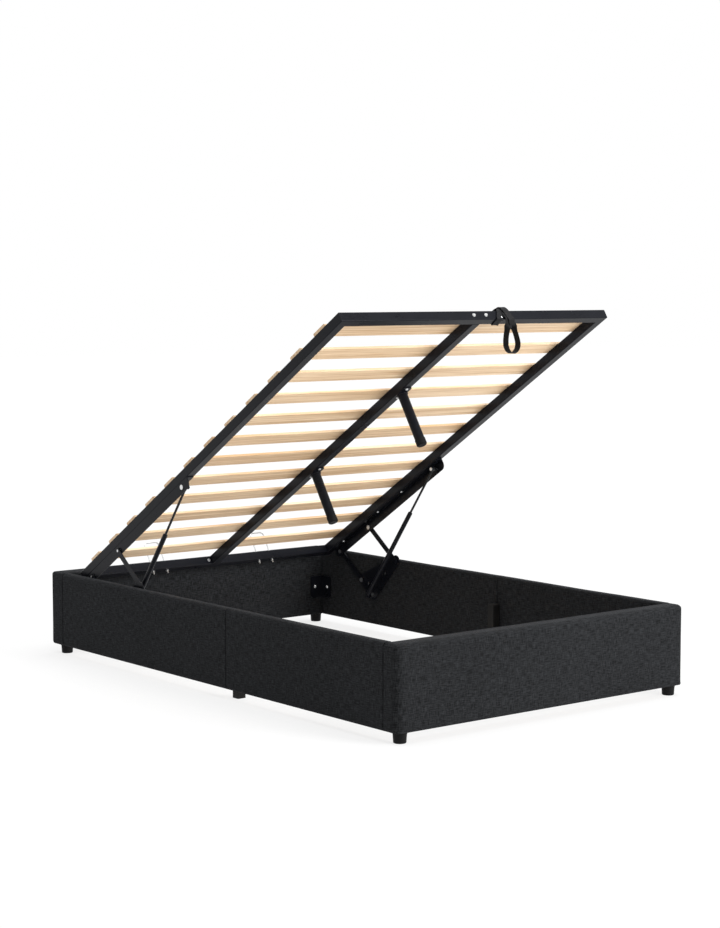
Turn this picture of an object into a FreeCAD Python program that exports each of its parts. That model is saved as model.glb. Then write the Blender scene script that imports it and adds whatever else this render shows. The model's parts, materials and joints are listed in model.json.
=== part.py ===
"""Lift-up storage bed frame: an upholstered box on low feet, with a slatted steel lid
carried by a pair of link-and-strut mechanisms.

Frame: +X to the right of someone standing at the foot, +Y towards the head, +Z up.
The origin is on the floor under the middle of the bed.  The lid stands open.
All sizes are millimetres and degrees, kept in the spreadsheet "Sizes".
"""
import FreeCAD
import Part
import Sketcher
import math
import os

Vector = FreeCAD.Vector
Placement = FreeCAD.Placement
Rotation = FreeCAD.Rotation

os.makedirs("parts", exist_ok=True)
doc = FreeCAD.newDocument("storage_bed_frame")

# Driving dimensions

SIZES = {
    # Upholstered box
    "bed_length": 2100.0,
    "bed_width": 1292.0,
    "panel_top": 316.0,
    "foot_height": 35.0,
    "foot_panel_thick": 68.0,
    "head_panel_thick": 82.0,
    "side_panel_thick": 36.0,
    "padding": 8.0,
    "corner_round": 18.0,
    "edge_round": 13.0,
    "front_half_length": 853.0,
    "seam_gap": 2.0,
    # Corner feet
    "foot_top_dia": 48.0,
    "foot_base_dia": 42.0,
    "foot_collar": 5.0,
    "foot_base_bevel": 2.0,
    "foot_stud_dia": 8.0,
    "foot_stud_length": 24.0,
    "foot_inset": 38.0,
    # Seam posts
    "post_side": 33.0,
    "post_chamfer": 1.5,
    "post_gap": 1.0,
    # Corner brackets
    "bracket_leg": 60.0,
    "bracket_height": 90.0,
    "bracket_thick": 3.0,
    "bracket_base": 110.0,
    "bracket_round": 10.0,
    "bracket_hole_inset": 22.0,
    # Screws
    "screw_head_dia": 12.0,
    "screw_head_height": 3.0,
    "head_crown_share": 0.66,
    "screw_dia": 5.0,
    "screw_length": 20.0,
    "screw_play": 0.2,
    "sunk_head_dia": 10.0,
    "sunk_screw_length": 18.0,
    # Lid frame
    "lid_side_gap": 11.0,
    "lid_head_gap": 33.0,
    "rail_side": 34.0,
    "rail_wall": 1.5,
    "rail_round": 3.0,
    "lid_angle": 32.15,
    "closed_height": 213.0,
    "lid_foot_gap": 12.0,
    # Slats
    "slat_end_gap": 2.0,
    "slat_width": 66.0,
    "slat_thick": 10.0,
    "slat_round": 2.5,
    "slat_first": 120.0,
    "slat_last": 131.0,
    "slat_count": 12.0,
    # Centre legs
    "leg_floor_gap": 1.0,
    "leg_dia": 35.0,
    "leg_wall": 1.5,
    "leg_front_place": 497.0,
    "leg_rear_place": 1095.0,
    "cap_dia": 38.0,
    "cap_height": 24.0,
    "cap_floor": 4.0,
    "cap_bevel": 3.5,
    "leg_plate_length": 80.0,
    "leg_plate_width": 40.0,
    "leg_plate_thick": 3.0,
    "leg_plate_round": 8.0,
    "leg_screw_spread": 30.0,
    "leg_collar_dia": 41.0,
    "leg_collar_height": 7.0,
    # Rail bolts
    "bolt_head_dia": 13.0,
    "bolt_head_height": 4.0,
    "bolt_dia": 6.0,
    "bolt_length": 12.0,
    "bolt_spread": 27.0,
    # Mattress stops
    "stop_wire": 6.0,
    "stop_width": 65.0,
    "stop_height": 90.0,
    "stop_bend": 14.0,
    "stop_tail": 8.0,
    "stop_place": 256.0,
    "stop_nut_dia": 12.0,
    "stop_nut_height": 5.0,
    # Lift arms
    "arm_length": 802.0,
    "arm_tail_gap": 47.0,
    "arm_drop": 38.0,
    "arm_flange": 30.0,
    "arm_thick": 3.0,
    "arm_nose_round": 20.0,
    "arm_tail_round": 12.0,
    "arm_screw_first": 580.0,
    "arm_screw_second": 404.0,
    "arm_screw_third": 138.0,
    # Pivot places on the lid: distance from its head edge and drop below the rails
    "rear_pivot_back": 74.0,
    "front_pivot_back": 297.5,
    "link_pivot_drop": 20.5,
    "strut_pivot_back": 801.5,
    "strut_pivot_drop": 17.5,
    # Links
    "link_width": 21.0,
    "link_thick": 4.0,
    "link_spacing": 3.0,
    "rear_link_length": 172.0,
    "rear_open_angle": 37.4,
    "rear_closed_angle": -6.6,
    "front_link_length": 203.0,
    # Pins
    "pin_dia": 10.0,
    "pin_head_dia": 18.0,
    "pin_head_height": 2.0,
    "pin_shoulder_dia": 15.0,
    "pin_play": 0.05,
    "face_play": 0.3,
    # Hinge plates on the side panels
    "plate_thick": 3.0,
    "plate_round": 22.0,
    "plate_screw_spread": 60.0,
    # Gas struts
    "strut_foot_back": 69.0,
    "strut_foot_drop": 55.0,
    "strut_inset": 19.0,
    "tube_dia": 18.0,
    "tube_bore": 15.6,
    "tube_length": 454.0,
    "tube_neck": 18.0,
    "tube_neck_round": 2.0,
    "rod_dia": 9.0,
    "rod_play": 0.25,
    "rod_hidden": 60.0,
    "piston_length": 16.0,
    "piston_play": 0.3,
    "eye_dia": 18.0,
    "eye_width": 19.0,
    "eye_bore": 8.0,
    "eye_ferrule_dia": 12.0,
    "eye_ferrule": 4.5,
    "stud_cap_dia": 13.0,
    "stud_cap_height": 2.5,
    "pedestal_dia": 18.0,
    # Pull strap
    "strap_width": 25.0,
    "strap_thick": 2.0,
    "strap_play": 0.3,
    "strap_place": 106.0,
    "strap_hump": 17.0,
    "strap_drop": 118.0,
    "strap_loop_width": 54.0,
    "strap_shift": 24.0,
    "strap_loop_band": 18.0,
    "strap_lead": 16.0,
    # Shared
    "overrun": 5.0,
}

sheet = doc.addObject("Spreadsheet::Sheet", "Sizes")
for row, (alias, value) in enumerate(SIZES.items(), start=1):
    sheet.set("A%d" % row, alias)
    sheet.set("B%d" % row, str(value))
    sheet.setAlias("B%d" % row, alias)
doc.recompute()


def size(alias):
    """Return one driving dimension as a plain number."""
    return float(sheet.get(alias))


def value_of(text):
    """Return the number that an expression over the sheet stands for."""
    return float(sheet.evalExpression(text))


# Sketch and body helpers

SIDES = ("left", "right")


def sign_of(side):
    """Return the direction of a side along X."""
    return -1 if side == "left" else 1


def new_body(label, place=None):
    """Start a body with its label and its place in the frame."""
    body = doc.addObject("PartDesign::Body", label)
    body.Label = label
    if place is not None:
        body.Placement = place
    return body


def new_sketch(body, role, lift=0.0):
    """Attach an empty sketch to one of the body's own origin planes, lifted along its normal."""
    sketch = body.newObject("Sketcher::SketchObject", body.Name + "_sketch")
    planes = [item for item in body.Origin.OriginFeatures if item.Role == role]
    sketch.AttachmentSupport = [(planes[0], "")]
    sketch.MapMode = "FlatFace"
    sketch.AttachmentOffset = Placement(Vector(0, 0, lift), Rotation())
    return sketch


def fix_point(sketch, line, end, across, along):
    """Tie one end of a line to a place given by two expressions."""
    for kind, text, axis in (("DistanceX", across, -2), ("DistanceY", along, -1)):
        if text == "0":
            sketch.addConstraint(Sketcher.Constraint("PointOnObject", line, end, axis))
            continue
        index = sketch.addConstraint(Sketcher.Constraint(kind, -1, 1, line, end, value_of(text)))
        sketch.setExpression("Constraints[%d]" % index, text)


def outline(sketch, points):
    """Draw a closed outline through points given as pairs of expressions."""
    corners = [Vector(value_of(across), value_of(along), 0) for across, along in points]
    lines = []
    for start, finish in zip(corners, corners[1:] + corners[:1]):
        lines.append(sketch.addGeometry(Part.LineSegment(start, finish), False))
    for line, following in zip(lines, lines[1:] + lines[:1]):
        sketch.addConstraint(Sketcher.Constraint("Coincident", line, 2, following, 1))
    for line, (across, along) in zip(lines, points):
        fix_point(sketch, line, 1, across, along)


def ring(sketch, across, along, diameter):
    """Draw a circle at a place and with a diameter given as expressions."""
    centre = Vector(value_of(across), value_of(along), 0)
    circle = sketch.addGeometry(Part.Circle(centre, Vector(0, 0, 1), value_of(diameter) / 2), False)
    fix_point(sketch, circle, 3, across, along)
    index = sketch.addConstraint(Sketcher.Constraint("Diameter", circle, value_of(diameter)))
    sketch.setExpression("Constraints[%d]" % index, diameter)


def band_outline(sketch, centres, radius):
    """Draw the outline that a taut band makes around equal discs, listed anticlockwise."""
    reach = value_of(radius)
    places = [Vector(value_of(across), value_of(along), 0) for across, along in centres]
    count = len(places)
    flat = []
    for index in range(count):
        run = places[(index + 1) % count] - places[index]
        flat.append(math.atan2(-run.x, run.y))
    lines = []
    arcs = []
    for index in range(count):
        offset = Vector(math.cos(flat[index]), math.sin(flat[index]), 0) * reach
        start = places[index] + offset
        finish = places[(index + 1) % count] + offset
        lines.append(sketch.addGeometry(Part.LineSegment(start, finish), False))
    for index in range(count):
        first = flat[index - 1]
        last = flat[index]
        while last < first:
            last += 2 * math.pi
        circle = Part.Circle(places[index], Vector(0, 0, 1), reach)
        arcs.append(sketch.addGeometry(Part.ArcOfCircle(circle, first, last), False))
    for index in range(count):
        arc = arcs[index]
        sketch.addConstraint(Sketcher.Constraint("Tangent", lines[index - 1], 2, arc, 1))
        sketch.addConstraint(Sketcher.Constraint("Tangent", arc, 2, lines[index], 1))
        fix_point(sketch, arc, 3, centres[index][0], centres[index][1])
        mark = sketch.addConstraint(Sketcher.Constraint("Radius", arc, reach))
        sketch.setExpression("Constraints[%d]" % mark, radius)


def pad(body, sketch, length, centred=False, backwards=False):
    """Extrude a sketch by a length given as an expression."""
    feature = body.newObject("PartDesign::Pad", body.Name + "_pad")
    feature.Profile = sketch
    feature.setExpression("Length", length)
    feature.Midplane = centred
    feature.Reversed = backwards
    doc.recompute()
    return feature


def pocket(body, sketch, length, centred=False, backwards=False):
    """Cut a sketch out by a length given as an expression, and check that it cuts."""
    before = body.Shape.Volume
    feature = body.newObject("PartDesign::Pocket", body.Name + "_pocket")
    feature.Profile = sketch
    feature.setExpression("Length", length)
    feature.Midplane = centred
    feature.Reversed = backwards
    doc.recompute()
    if body.Shape.Volume >= before:
        raise RuntimeError("a pocket cuts nothing in " + body.Label)
    return feature


def revolve(body, sketch):
    """Turn a profile drawn on the XZ plane once around the body's own Z axis."""
    feature = body.newObject("PartDesign::Revolution", body.Name + "_turn")
    feature.Profile = sketch
    feature.ReferenceAxis = (sketch, ["V_Axis"])
    feature.Angle = 360.0
    doc.recompute()
    return feature


def dress_edges(body, kind, setting, amount, wanted):
    """Fillet or chamfer the body's edges that a test picks, by an expression."""
    base = body.Tip
    names = []
    for index, edge in enumerate(base.Shape.Edges, start=1):
        if wanted(edge):
            names.append("Edge%d" % index)
    feature = body.newObject(kind, body.Name + "_edges")
    feature.Base = (base, names)
    feature.setExpression(setting, amount)
    doc.recompute()
    return feature


def round_edges(body, radius, wanted):
    """Fillet the edges that a test picks."""
    return dress_edges(body, "PartDesign::Fillet", "Radius", radius, wanted)


def bevel_edges(body, width, wanted):
    """Chamfer the edges that a test picks."""
    return dress_edges(body, "PartDesign::Chamfer", "Size", width, wanted)


def runs_along(edge, axis):
    """Say whether an edge is straight and parallel to an axis of its body."""
    if edge.Curve.TypeId != "Part::GeomLine":
        return False
    direction = edge.Curve.Direction
    return direction.cross(axis).Length < 1e-6


def near(first, second):
    """Say whether two coordinates are the same place."""
    return abs(first - second) < 1e-4


def box(label, length, width, height, place):
    """Make a plain block with its sizes bound to expressions."""
    block = doc.addObject("Part::Box", label)
    block.Label = label
    block.setExpression("Length", length)
    block.setExpression("Width", width)
    block.setExpression("Height", height)
    block.Placement = place
    return block


def group(label, shape, places):
    """Make one node of separate copies of a shape, one at each place."""
    copies = []
    for place in places:
        copy = shape.copy()
        copy.Placement = place.multiply(copy.Placement)
        copies.append(copy)
    node = doc.addObject("Part::Feature", label)
    node.Label = label
    node.Shape = Part.makeCompound(copies)
    return node


X_AXIS = Vector(1, 0, 0)
Y_AXIS = Vector(0, 1, 0)
Z_AXIS = Vector(0, 0, 1)
RIGHT_ANGLE = 90.0

nodes = []


def keep(node):
    """Enter an object in the list of sub-parts that are written out."""
    nodes.append(node)
    return node


# Sizes that follow from the driving ones, as texts for expressions

LID_LENGTH = (
    "(Sizes.bed_length - Sizes.foot_panel_thick - Sizes.head_panel_thick"
    " - Sizes.lid_foot_gap - Sizes.lid_head_gap)")
LID_WIDTH = "(Sizes.bed_width - 2 * Sizes.side_panel_thick - 2 * Sizes.lid_side_gap)"
SLAT_LENGTH = "(" + LID_WIDTH + " - 2 * Sizes.slat_end_gap)"
LEG_LENGTH = "(Sizes.closed_height - Sizes.leg_floor_gap)"

# Places that several pieces share

half_length = size("bed_length") / 2
half_width = size("bed_width") / 2
inner_side = half_width - size("side_panel_thick")
inner_foot = -half_length + size("foot_panel_thick")
inner_head = half_length - size("head_panel_thick")
lid_length = value_of(LID_LENGTH)
lid_half = value_of(LID_WIDTH) / 2


def polar(radius, degrees):
    """Return a (y, z) vector from a length and an angle above +Y."""
    angle = math.radians(degrees)
    return Vector(0, radius * math.cos(angle), radius * math.sin(angle))


def on_lid(back, drop):
    """Return the lid's own coordinates of a place below its rails, measured from its head edge."""
    return Vector(0, lid_length - back, -drop)


rear_on_lid = on_lid(size("rear_pivot_back"), size("link_pivot_drop"))
front_on_lid = on_lid(size("front_pivot_back"), size("link_pivot_drop"))
strut_on_lid = on_lid(size("strut_pivot_back"), size("strut_pivot_drop"))

# The closed lid lies level on its legs; the rear link carries it up and back to the open place
closed_lid = Placement(Vector(0, inner_foot + size("lid_foot_gap"), size("closed_height")), Rotation())
rear_closed = closed_lid.multVec(rear_on_lid)
rear_base = rear_closed - polar(size("rear_link_length"), size("rear_closed_angle"))
rear_open = rear_base + polar(size("rear_link_length"), size("rear_open_angle"))
lid_turn = Rotation(X_AXIS, -size("lid_angle"))
open_lid = Placement(rear_open - lid_turn.multVec(rear_on_lid), lid_turn)

# The front link's base pivot is equally far from its lid pivot in both positions
front_open = open_lid.multVec(front_on_lid)
front_closed = closed_lid.multVec(front_on_lid)
front_chord = front_closed - front_open
front_middle = (front_open + front_closed) * 0.5
front_reach = math.sqrt(size("front_link_length") ** 2 - (front_chord.Length / 2) ** 2)
front_base = front_middle + Vector(0, front_chord.z, -front_chord.y).normalize() * front_reach

strut_open = open_lid.multVec(strut_on_lid)
strut_closed = closed_lid.multVec(strut_on_lid)
strut_base = rear_base - Vector(0, size("strut_foot_back"), size("strut_foot_drop"))
strut_run = strut_open - strut_base
strut_length = strut_run.Length

# Depth layers of the mechanism, measured out from the middle of the bed
web_outer = lid_half
web_inner = web_outer - size("arm_thick")
link_inner = web_outer + size("link_spacing")
link_outer = link_inner + size("link_thick")
plate_inner = inner_side - size("plate_thick")
strut_side = lid_half - size("strut_inset")


def mirror_place(side, inner, outer):
    """Return the low X of a layer on the left or right side."""
    return inner if side == "right" else -outer


# Upholstered panels

panel_height = "Sizes.panel_top - Sizes.foot_height"
board_height = panel_height + " - Sizes.padding"


def panel(name, length_x, length_y, corner, rounded):
    """Make a board and the padded cover that is drawn down over it, open below.

    rounded tells which upright edges, by their sign along X and Y, are round.
    """
    across = value_of(length_x)
    deep = value_of(length_y)
    cover = new_body(name + "_cover", Placement(corner, Rotation()))
    sketch = new_sketch(cover, "XY_Plane")
    outline(sketch, [("0", "0"), (length_x, "0"), (length_x, length_y), ("0", length_y)])
    pad(cover, sketch, panel_height)
    if rounded:
        places = {(across if sx > 0 else 0.0, deep if sy > 0 else 0.0) for sx, sy in rounded}
        round_edges(
            cover, "Sizes.corner_round",
            lambda edge: runs_along(edge, Z_AXIS)
            and any(near(edge.CenterOfMass.x, px) and near(edge.CenterOfMass.y, py) for px, py in places))
    top = value_of(panel_height)
    long_axis = X_AXIS if across > deep else Y_AXIS
    ends_too = bool(rounded)
    round_edges(
        cover, "Sizes.edge_round",
        lambda edge: near(edge.BoundBox.ZMin, top) and (ends_too or runs_along(edge, long_axis)))
    hollow = new_sketch(cover, "XY_Plane")
    inset = "Sizes.padding"
    far_x = length_x + " - Sizes.padding"
    far_y = length_y + " - Sizes.padding"
    outline(hollow, [(inset, inset), (far_x, inset), (far_x, far_y), (inset, far_y)])
    pocket(cover, hollow, board_height, backwards=True)
    pad_size = size("padding")
    board = box(
        name + "_board",
        length_x + " - 2 * Sizes.padding",
        length_y + " - 2 * Sizes.padding",
        board_height,
        Placement(corner + Vector(pad_size, pad_size, 0), Rotation()))
    keep(board)
    keep(cover)


floor_gap = size("foot_height")
panel(
    "foot_panel", "Sizes.bed_width", "Sizes.foot_panel_thick",
    Vector(-half_width, -half_length, floor_gap), [(-1, -1), (1, -1)])
panel(
    "head_panel", "Sizes.bed_width", "Sizes.head_panel_thick",
    Vector(-half_width, inner_head, floor_gap), [(-1, 1), (1, 1)])

front_run = "Sizes.front_half_length"
rear_run = (
    "Sizes.bed_length - Sizes.foot_panel_thick - Sizes.head_panel_thick"
    " - Sizes.front_half_length - Sizes.seam_gap")
seam = inner_foot + size("front_half_length") + size("seam_gap") / 2
for side in SIDES:
    low_x = mirror_place(side, inner_side, half_width)
    panel(side + "_front_panel", "Sizes.side_panel_thick", front_run, Vector(low_x, inner_foot, floor_gap), [])
    panel(
        side + "_rear_panel", "Sizes.side_panel_thick", rear_run,
        Vector(low_x, seam + size("seam_gap") / 2, floor_gap), [])

# Corner feet, turned in one piece with their studs

foot = new_body("corner_foot_turning")
profile = new_sketch(foot, "XZ_Plane")
outline(profile, [
    ("0", "0"),
    ("Sizes.foot_base_dia / 2 - Sizes.foot_base_bevel", "0"),
    ("Sizes.foot_base_dia / 2", "Sizes.foot_base_bevel"),
    ("Sizes.foot_top_dia / 2 - Sizes.foot_base_bevel / 2", "Sizes.foot_height - Sizes.foot_collar"),
    ("Sizes.foot_top_dia / 2", "Sizes.foot_height - Sizes.foot_collar"),
    ("Sizes.foot_top_dia / 2", "Sizes.foot_height"),
    ("Sizes.foot_stud_dia / 2", "Sizes.foot_height"),
    ("Sizes.foot_stud_dia / 2", "Sizes.foot_height + Sizes.foot_stud_length"),
    ("0", "Sizes.foot_height + Sizes.foot_stud_length")])
revolve(foot, profile)
foot_spots = []
for across in (-1, 1):
    for thick, along in (("foot_panel_thick", -1), ("head_panel_thick", 1)):
        spot_y = along * (half_length - size(thick) / 2)
        foot_spots.append(Placement(Vector(across * (half_width - size("foot_inset")), spot_y, 0), Rotation()))
keep(group("corner_feet", foot.Shape, foot_spots))

# Seam posts behind the side seams; the closed lid's side rails come down on them

for side in SIDES:
    low_x = mirror_place(side, inner_side - size("post_side"), inner_side)
    post = new_body(side + "_seam_post", Placement(Vector(low_x, seam - size("post_side") / 2, 0), Rotation()))
    sketch = new_sketch(post, "XY_Plane")
    outline(sketch, [
        ("0", "0"), ("Sizes.post_side", "0"),
        ("Sizes.post_side", "Sizes.post_side"), ("0", "Sizes.post_side")])
    pad(post, sketch, "Sizes.closed_height - Sizes.post_gap")
    bevel_edges(post, "Sizes.post_chamfer", lambda edge: runs_along(edge, Z_AXIS))
    keep(post)

# Screws: one shape for all panel fixings, its head's seat at the local origin, driven along -Z

screw = new_body("panel_screw_turning")
profile = new_sketch(screw, "XZ_Plane")
outline(profile, [
    ("0", "-Sizes.screw_length"),
    ("Sizes.screw_dia / 2", "-Sizes.screw_length"),
    ("Sizes.screw_dia / 2", "0"),
    ("Sizes.screw_head_dia / 2", "0"),
    ("Sizes.screw_head_dia / 2 * Sizes.head_crown_share", "Sizes.screw_head_height"),
    ("0", "Sizes.screw_head_height")])
revolve(screw, profile)


def into_x(sign):
    """Turn a screw so that it drives along X, the way the sign says."""
    return Rotation(Y_AXIS, -sign * RIGHT_ANGLE)


def into_y(sign):
    """Turn a screw so that it drives along Y, the way the sign says."""
    return Rotation(X_AXIS, sign * RIGHT_ANGLE)


screw_spots = []

# Corner brackets: bent steel angles in the four inner corners

bracket = new_body("corner_bracket_bend")
sketch = new_sketch(bracket, "XY_Plane")
outline(sketch, [
    ("0", "0"), ("Sizes.bracket_leg", "0"),
    ("Sizes.bracket_leg", "Sizes.bracket_thick"),
    ("Sizes.bracket_thick", "Sizes.bracket_thick"),
    ("Sizes.bracket_thick", "Sizes.bracket_leg"), ("0", "Sizes.bracket_leg")])
pad(bracket, sketch, "Sizes.bracket_height")
round_edges(
    bracket, "Sizes.bracket_round",
    lambda edge: (runs_along(edge, Y_AXIS) and near(edge.CenterOfMass.x, size("bracket_leg")))
    or (runs_along(edge, X_AXIS) and near(edge.CenterOfMass.y, size("bracket_leg"))))
bracket_hole_height = "Sizes.bracket_height / 2"
hole_reach = "Sizes.bracket_leg - Sizes.bracket_hole_inset"
screw_hole = "Sizes.screw_dia + 2 * Sizes.screw_play"
for role in ("XZ_Plane", "YZ_Plane"):
    holes = new_sketch(bracket, role)
    ring(holes, hole_reach, bracket_hole_height, screw_hole)
    pocket(bracket, holes, "2 * Sizes.overrun", centred=True)

bracket_spots = []
for across in (-1, 1):
    for along, corner_y in ((-1, inner_foot), (1, inner_head)):
        turns = {(-1, -1): 0, (1, -1): 1, (1, 1): 2, (-1, 1): 3}[(across, along)]
        base = Vector(across * inner_side, corner_y, size("bracket_base"))
        bracket_spots.append(Placement(base, Rotation(Z_AXIS, turns * RIGHT_ANGLE)))
        up = size("bracket_base") + value_of(bracket_hole_height)
        inward = size("bracket_thick")
        reach = value_of(hole_reach)
        screw_spots.append(Placement(
            Vector(across * (inner_side - inward), corner_y - along * reach, up), into_x(across)))
        screw_spots.append(Placement(
            Vector(across * (inner_side - reach), corner_y - along * inward, up), into_y(along)))
keep(group("corner_brackets", bracket.Shape, bracket_spots))

# Hinge plates on the inner faces of the side panels


def y_of(place):
    """Return a place's Y as an expression text."""
    return "%.6f" % place.y


def z_of(place):
    """Return a place's Z as an expression text."""
    return "%.6f" % place.z


sunk_screw = new_body("sunk_screw_turning")
profile = new_sketch(sunk_screw, "XZ_Plane")
outline(profile, [
    ("0", "-Sizes.sunk_screw_length"),
    ("Sizes.screw_dia / 2", "-Sizes.sunk_screw_length"),
    ("Sizes.screw_dia / 2", "-Sizes.sunk_head_dia / 2 + Sizes.screw_dia / 2"),
    ("Sizes.sunk_head_dia / 2", "0"),
    ("0", "0")])
revolve(sunk_screw, profile)

plate_corners = [front_base, strut_base, rear_base]
plate_screws = []
sunk_spots = []
plate_centre = (front_base + strut_base + rear_base) / len(plate_corners)
for sign in (-1, 1):
    lean = (rear_base - front_base).normalize()
    plate_screws.append(plate_centre + lean * (sign * size("plate_screw_spread")))
for side in SIDES:
    sign = sign_of(side)
    plate = new_body(side + "_hinge_plate")
    sketch = new_sketch(plate, "YZ_Plane", mirror_place(side, plate_inner, inner_side))
    band_outline(sketch, [(y_of(spot), z_of(spot)) for spot in plate_corners], "Sizes.plate_round")
    pad(plate, sketch, "Sizes.plate_thick")
    holes = new_sketch(plate, "YZ_Plane", sign * inner_side)
    ring(holes, y_of(rear_base), z_of(rear_base), "Sizes.pin_dia + 2 * Sizes.pin_play")
    for spot in plate_screws:
        ring(holes, y_of(spot), z_of(spot), screw_hole)
        sunk_spots.append(Placement(Vector(sign * plate_inner, spot.y, spot.z), into_x(sign)))
    pocket(plate, holes, "2 * Sizes.plate_thick + 2 * Sizes.overrun", centred=True)
    bevel_edges(
        plate, "Sizes.sunk_head_dia / 2 - Sizes.screw_dia / 2",
        lambda edge: edge.Curve.TypeId == "Part::GeomCircle"
        and near(edge.Curve.Radius, value_of(screw_hole) / 2)
        and near(edge.Curve.Center.x, sign * plate_inner))
    keep(plate)
keep(group("hinge_plate_screws", sunk_screw.Shape, sunk_spots))

keep(group("panel_screws", screw.Shape, screw_spots))

# Pins on the base: the rear links' pins and the struts' pedestals

base_pins = []
for side in SIDES:
    sign = sign_of(side)
    length = inner_side - link_inner + size("face_play")
    pin = Part.makeCylinder(size("pin_dia") / 2, length, Vector(sign * inner_side, 0, 0), X_AXIS * -sign)
    head_seat = sign * (link_inner - size("face_play"))
    head = Part.makeCylinder(
        size("pin_head_dia") / 2, size("pin_head_height"), Vector(head_seat, 0, 0), X_AXIS * -sign)
    rivet = pin.fuse(head).removeSplitter()
    rivet.translate(Vector(0, rear_base.y, rear_base.z))
    base_pins.append(rivet)
    reach = plate_inner - strut_side - size("eye_width") / 2 - size("face_play")
    pedestal = Part.makeCylinder(
        size("pedestal_dia") / 2, reach, Vector(sign * plate_inner, strut_base.y, strut_base.z), X_AXIS * -sign)
    base_pins.append(pedestal)
pins = doc.addObject("Part::Feature", "base_pins")
pins.Label = "base_pins"
pins.Shape = Part.makeCompound(base_pins)
keep(pins)

# Links: flat bars with round ends, drawn from one pivot to the other along their own X


def link(label, length, start, finish, side):
    """Make one link bar in the link layer, from a lower pivot to an upper one."""
    lean = math.degrees(math.atan2(finish.z - start.z, finish.y - start.y))
    turn = Rotation(X_AXIS, lean)
    low_x = mirror_place(side, link_inner, link_outer)
    bar = new_body(label, Placement(Vector(low_x, start.y, start.z), turn))
    sketch = new_sketch(bar, "YZ_Plane")
    band_outline(sketch, [("0", "0"), (length, "0")], "Sizes.link_width / 2")
    pad(bar, sketch, "Sizes.link_thick")
    return bar


pin_hole = "Sizes.pin_dia + 2 * Sizes.pin_play"
through_link = "2 * Sizes.link_thick + 2 * Sizes.overrun"
for side in SIDES:
    sign = sign_of(side)
    rear = link(side + "_rear_link", "Sizes.rear_link_length", rear_base, rear_open, side)
    holes = new_sketch(rear, "YZ_Plane")
    ring(holes, "0", "0", pin_hole)
    ring(holes, "Sizes.rear_link_length", "0", pin_hole)
    pocket(rear, holes, through_link, centred=True)
    keep(rear)
    front = link(side + "_front_link", "Sizes.front_link_length", front_base, front_open, side)
    holes = new_sketch(front, "YZ_Plane")
    ring(holes, "Sizes.front_link_length", "0", pin_hole)
    pocket(front, holes, through_link, centred=True)
    boss_side = size("link_thick") if sign < 0 else 0.0
    boss = new_sketch(front, "YZ_Plane", boss_side)
    ring(boss, "0", "0", "Sizes.pin_head_dia")
    pad(front, boss, "Sizes.pin_head_height", backwards=sign > 0)
    foot_face = 0.0 if sign < 0 else size("link_thick")
    stub = new_sketch(front, "YZ_Plane", foot_face)
    ring(stub, "0", "0", "Sizes.pin_dia")
    stub_reach = (
        "Sizes.lid_side_gap - Sizes.plate_thick - Sizes.link_spacing - Sizes.link_thick - Sizes.face_play")
    pad(front, stub, stub_reach, backwards=sign < 0)
    keep(front)

# Lid rails: square steel tube, mitred at the foot corners and butted at the head

rail = "Sizes.rail_side"
wall = "Sizes.rail_wall"
half_lid = LID_WIDTH + " / 2"


def tube_rail(label, axis, outer, inner):
    """Make a rail along an axis from its plan outline and the plan of the hollow inside it."""
    body = new_body(label, open_lid)
    sketch = new_sketch(body, "XY_Plane")
    outline(sketch, outer)
    pad(body, sketch, rail)
    round_edges(body, "Sizes.rail_round", lambda edge: runs_along(edge, axis))
    hollow = new_sketch(body, "XY_Plane", size("rail_side") / 2)
    outline(hollow, inner)
    pocket(body, hollow, rail + " - 2 * " + wall, centred=True)
    keep(body)
    return body


for side in SIDES:
    sign = sign_of(side)
    edge = half_lid if sign > 0 else "-" + half_lid
    toward = " - " if sign > 0 else " + "
    tube_rail(
        side + "_rail", Y_AXIS,
        [(edge, "0"), (edge, LID_LENGTH),
         (edge + toward + rail, LID_LENGTH), (edge + toward + rail, rail)],
        [(edge + toward + wall, wall), (edge + toward + wall, LID_LENGTH),
         (edge + toward + rail + (" + " if sign > 0 else " - ") + wall, LID_LENGTH),
         (edge + toward + rail + (" + " if sign > 0 else " - ") + wall, rail + " - " + wall)])
tube_rail(
    "foot_rail", X_AXIS,
    [("-" + half_lid, "0"), (half_lid, "0"), (half_lid + " - " + rail, rail), ("-" + half_lid + " + " + rail, rail)],
    [("-" + half_lid + " + " + wall, wall), (half_lid + " - " + wall, wall),
     (half_lid + " - " + rail + " + " + wall, rail + " - " + wall),
     ("-" + half_lid + " + " + rail + " - " + wall, rail + " - " + wall)])
head_start = LID_LENGTH + " - " + rail
tube_rail(
    "head_rail", X_AXIS,
    [("-" + half_lid + " + " + rail, head_start), (half_lid + " - " + rail, head_start),
     (half_lid + " - " + rail, LID_LENGTH), ("-" + half_lid + " + " + rail, LID_LENGTH)],
    [("-" + half_lid + " + " + rail, head_start + " + " + wall), (half_lid + " - " + rail, head_start + " + " + wall),
     (half_lid + " - " + rail, LID_LENGTH + " - " + wall),
     ("-" + half_lid + " + " + rail, LID_LENGTH + " - " + wall)])
tube_rail(
    "centre_rail", Y_AXIS,
    [("-" + rail + " / 2", rail), (rail + " / 2", rail), (rail + " / 2", head_start), ("-" + rail + " / 2", head_start)],
    [("-" + rail + " / 2 + " + wall, rail), (rail + " / 2 - " + wall, rail),
     (rail + " / 2 - " + wall, head_start), ("-" + rail + " / 2 + " + wall, head_start)])

# Slats: separate boards lying across the rails

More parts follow.
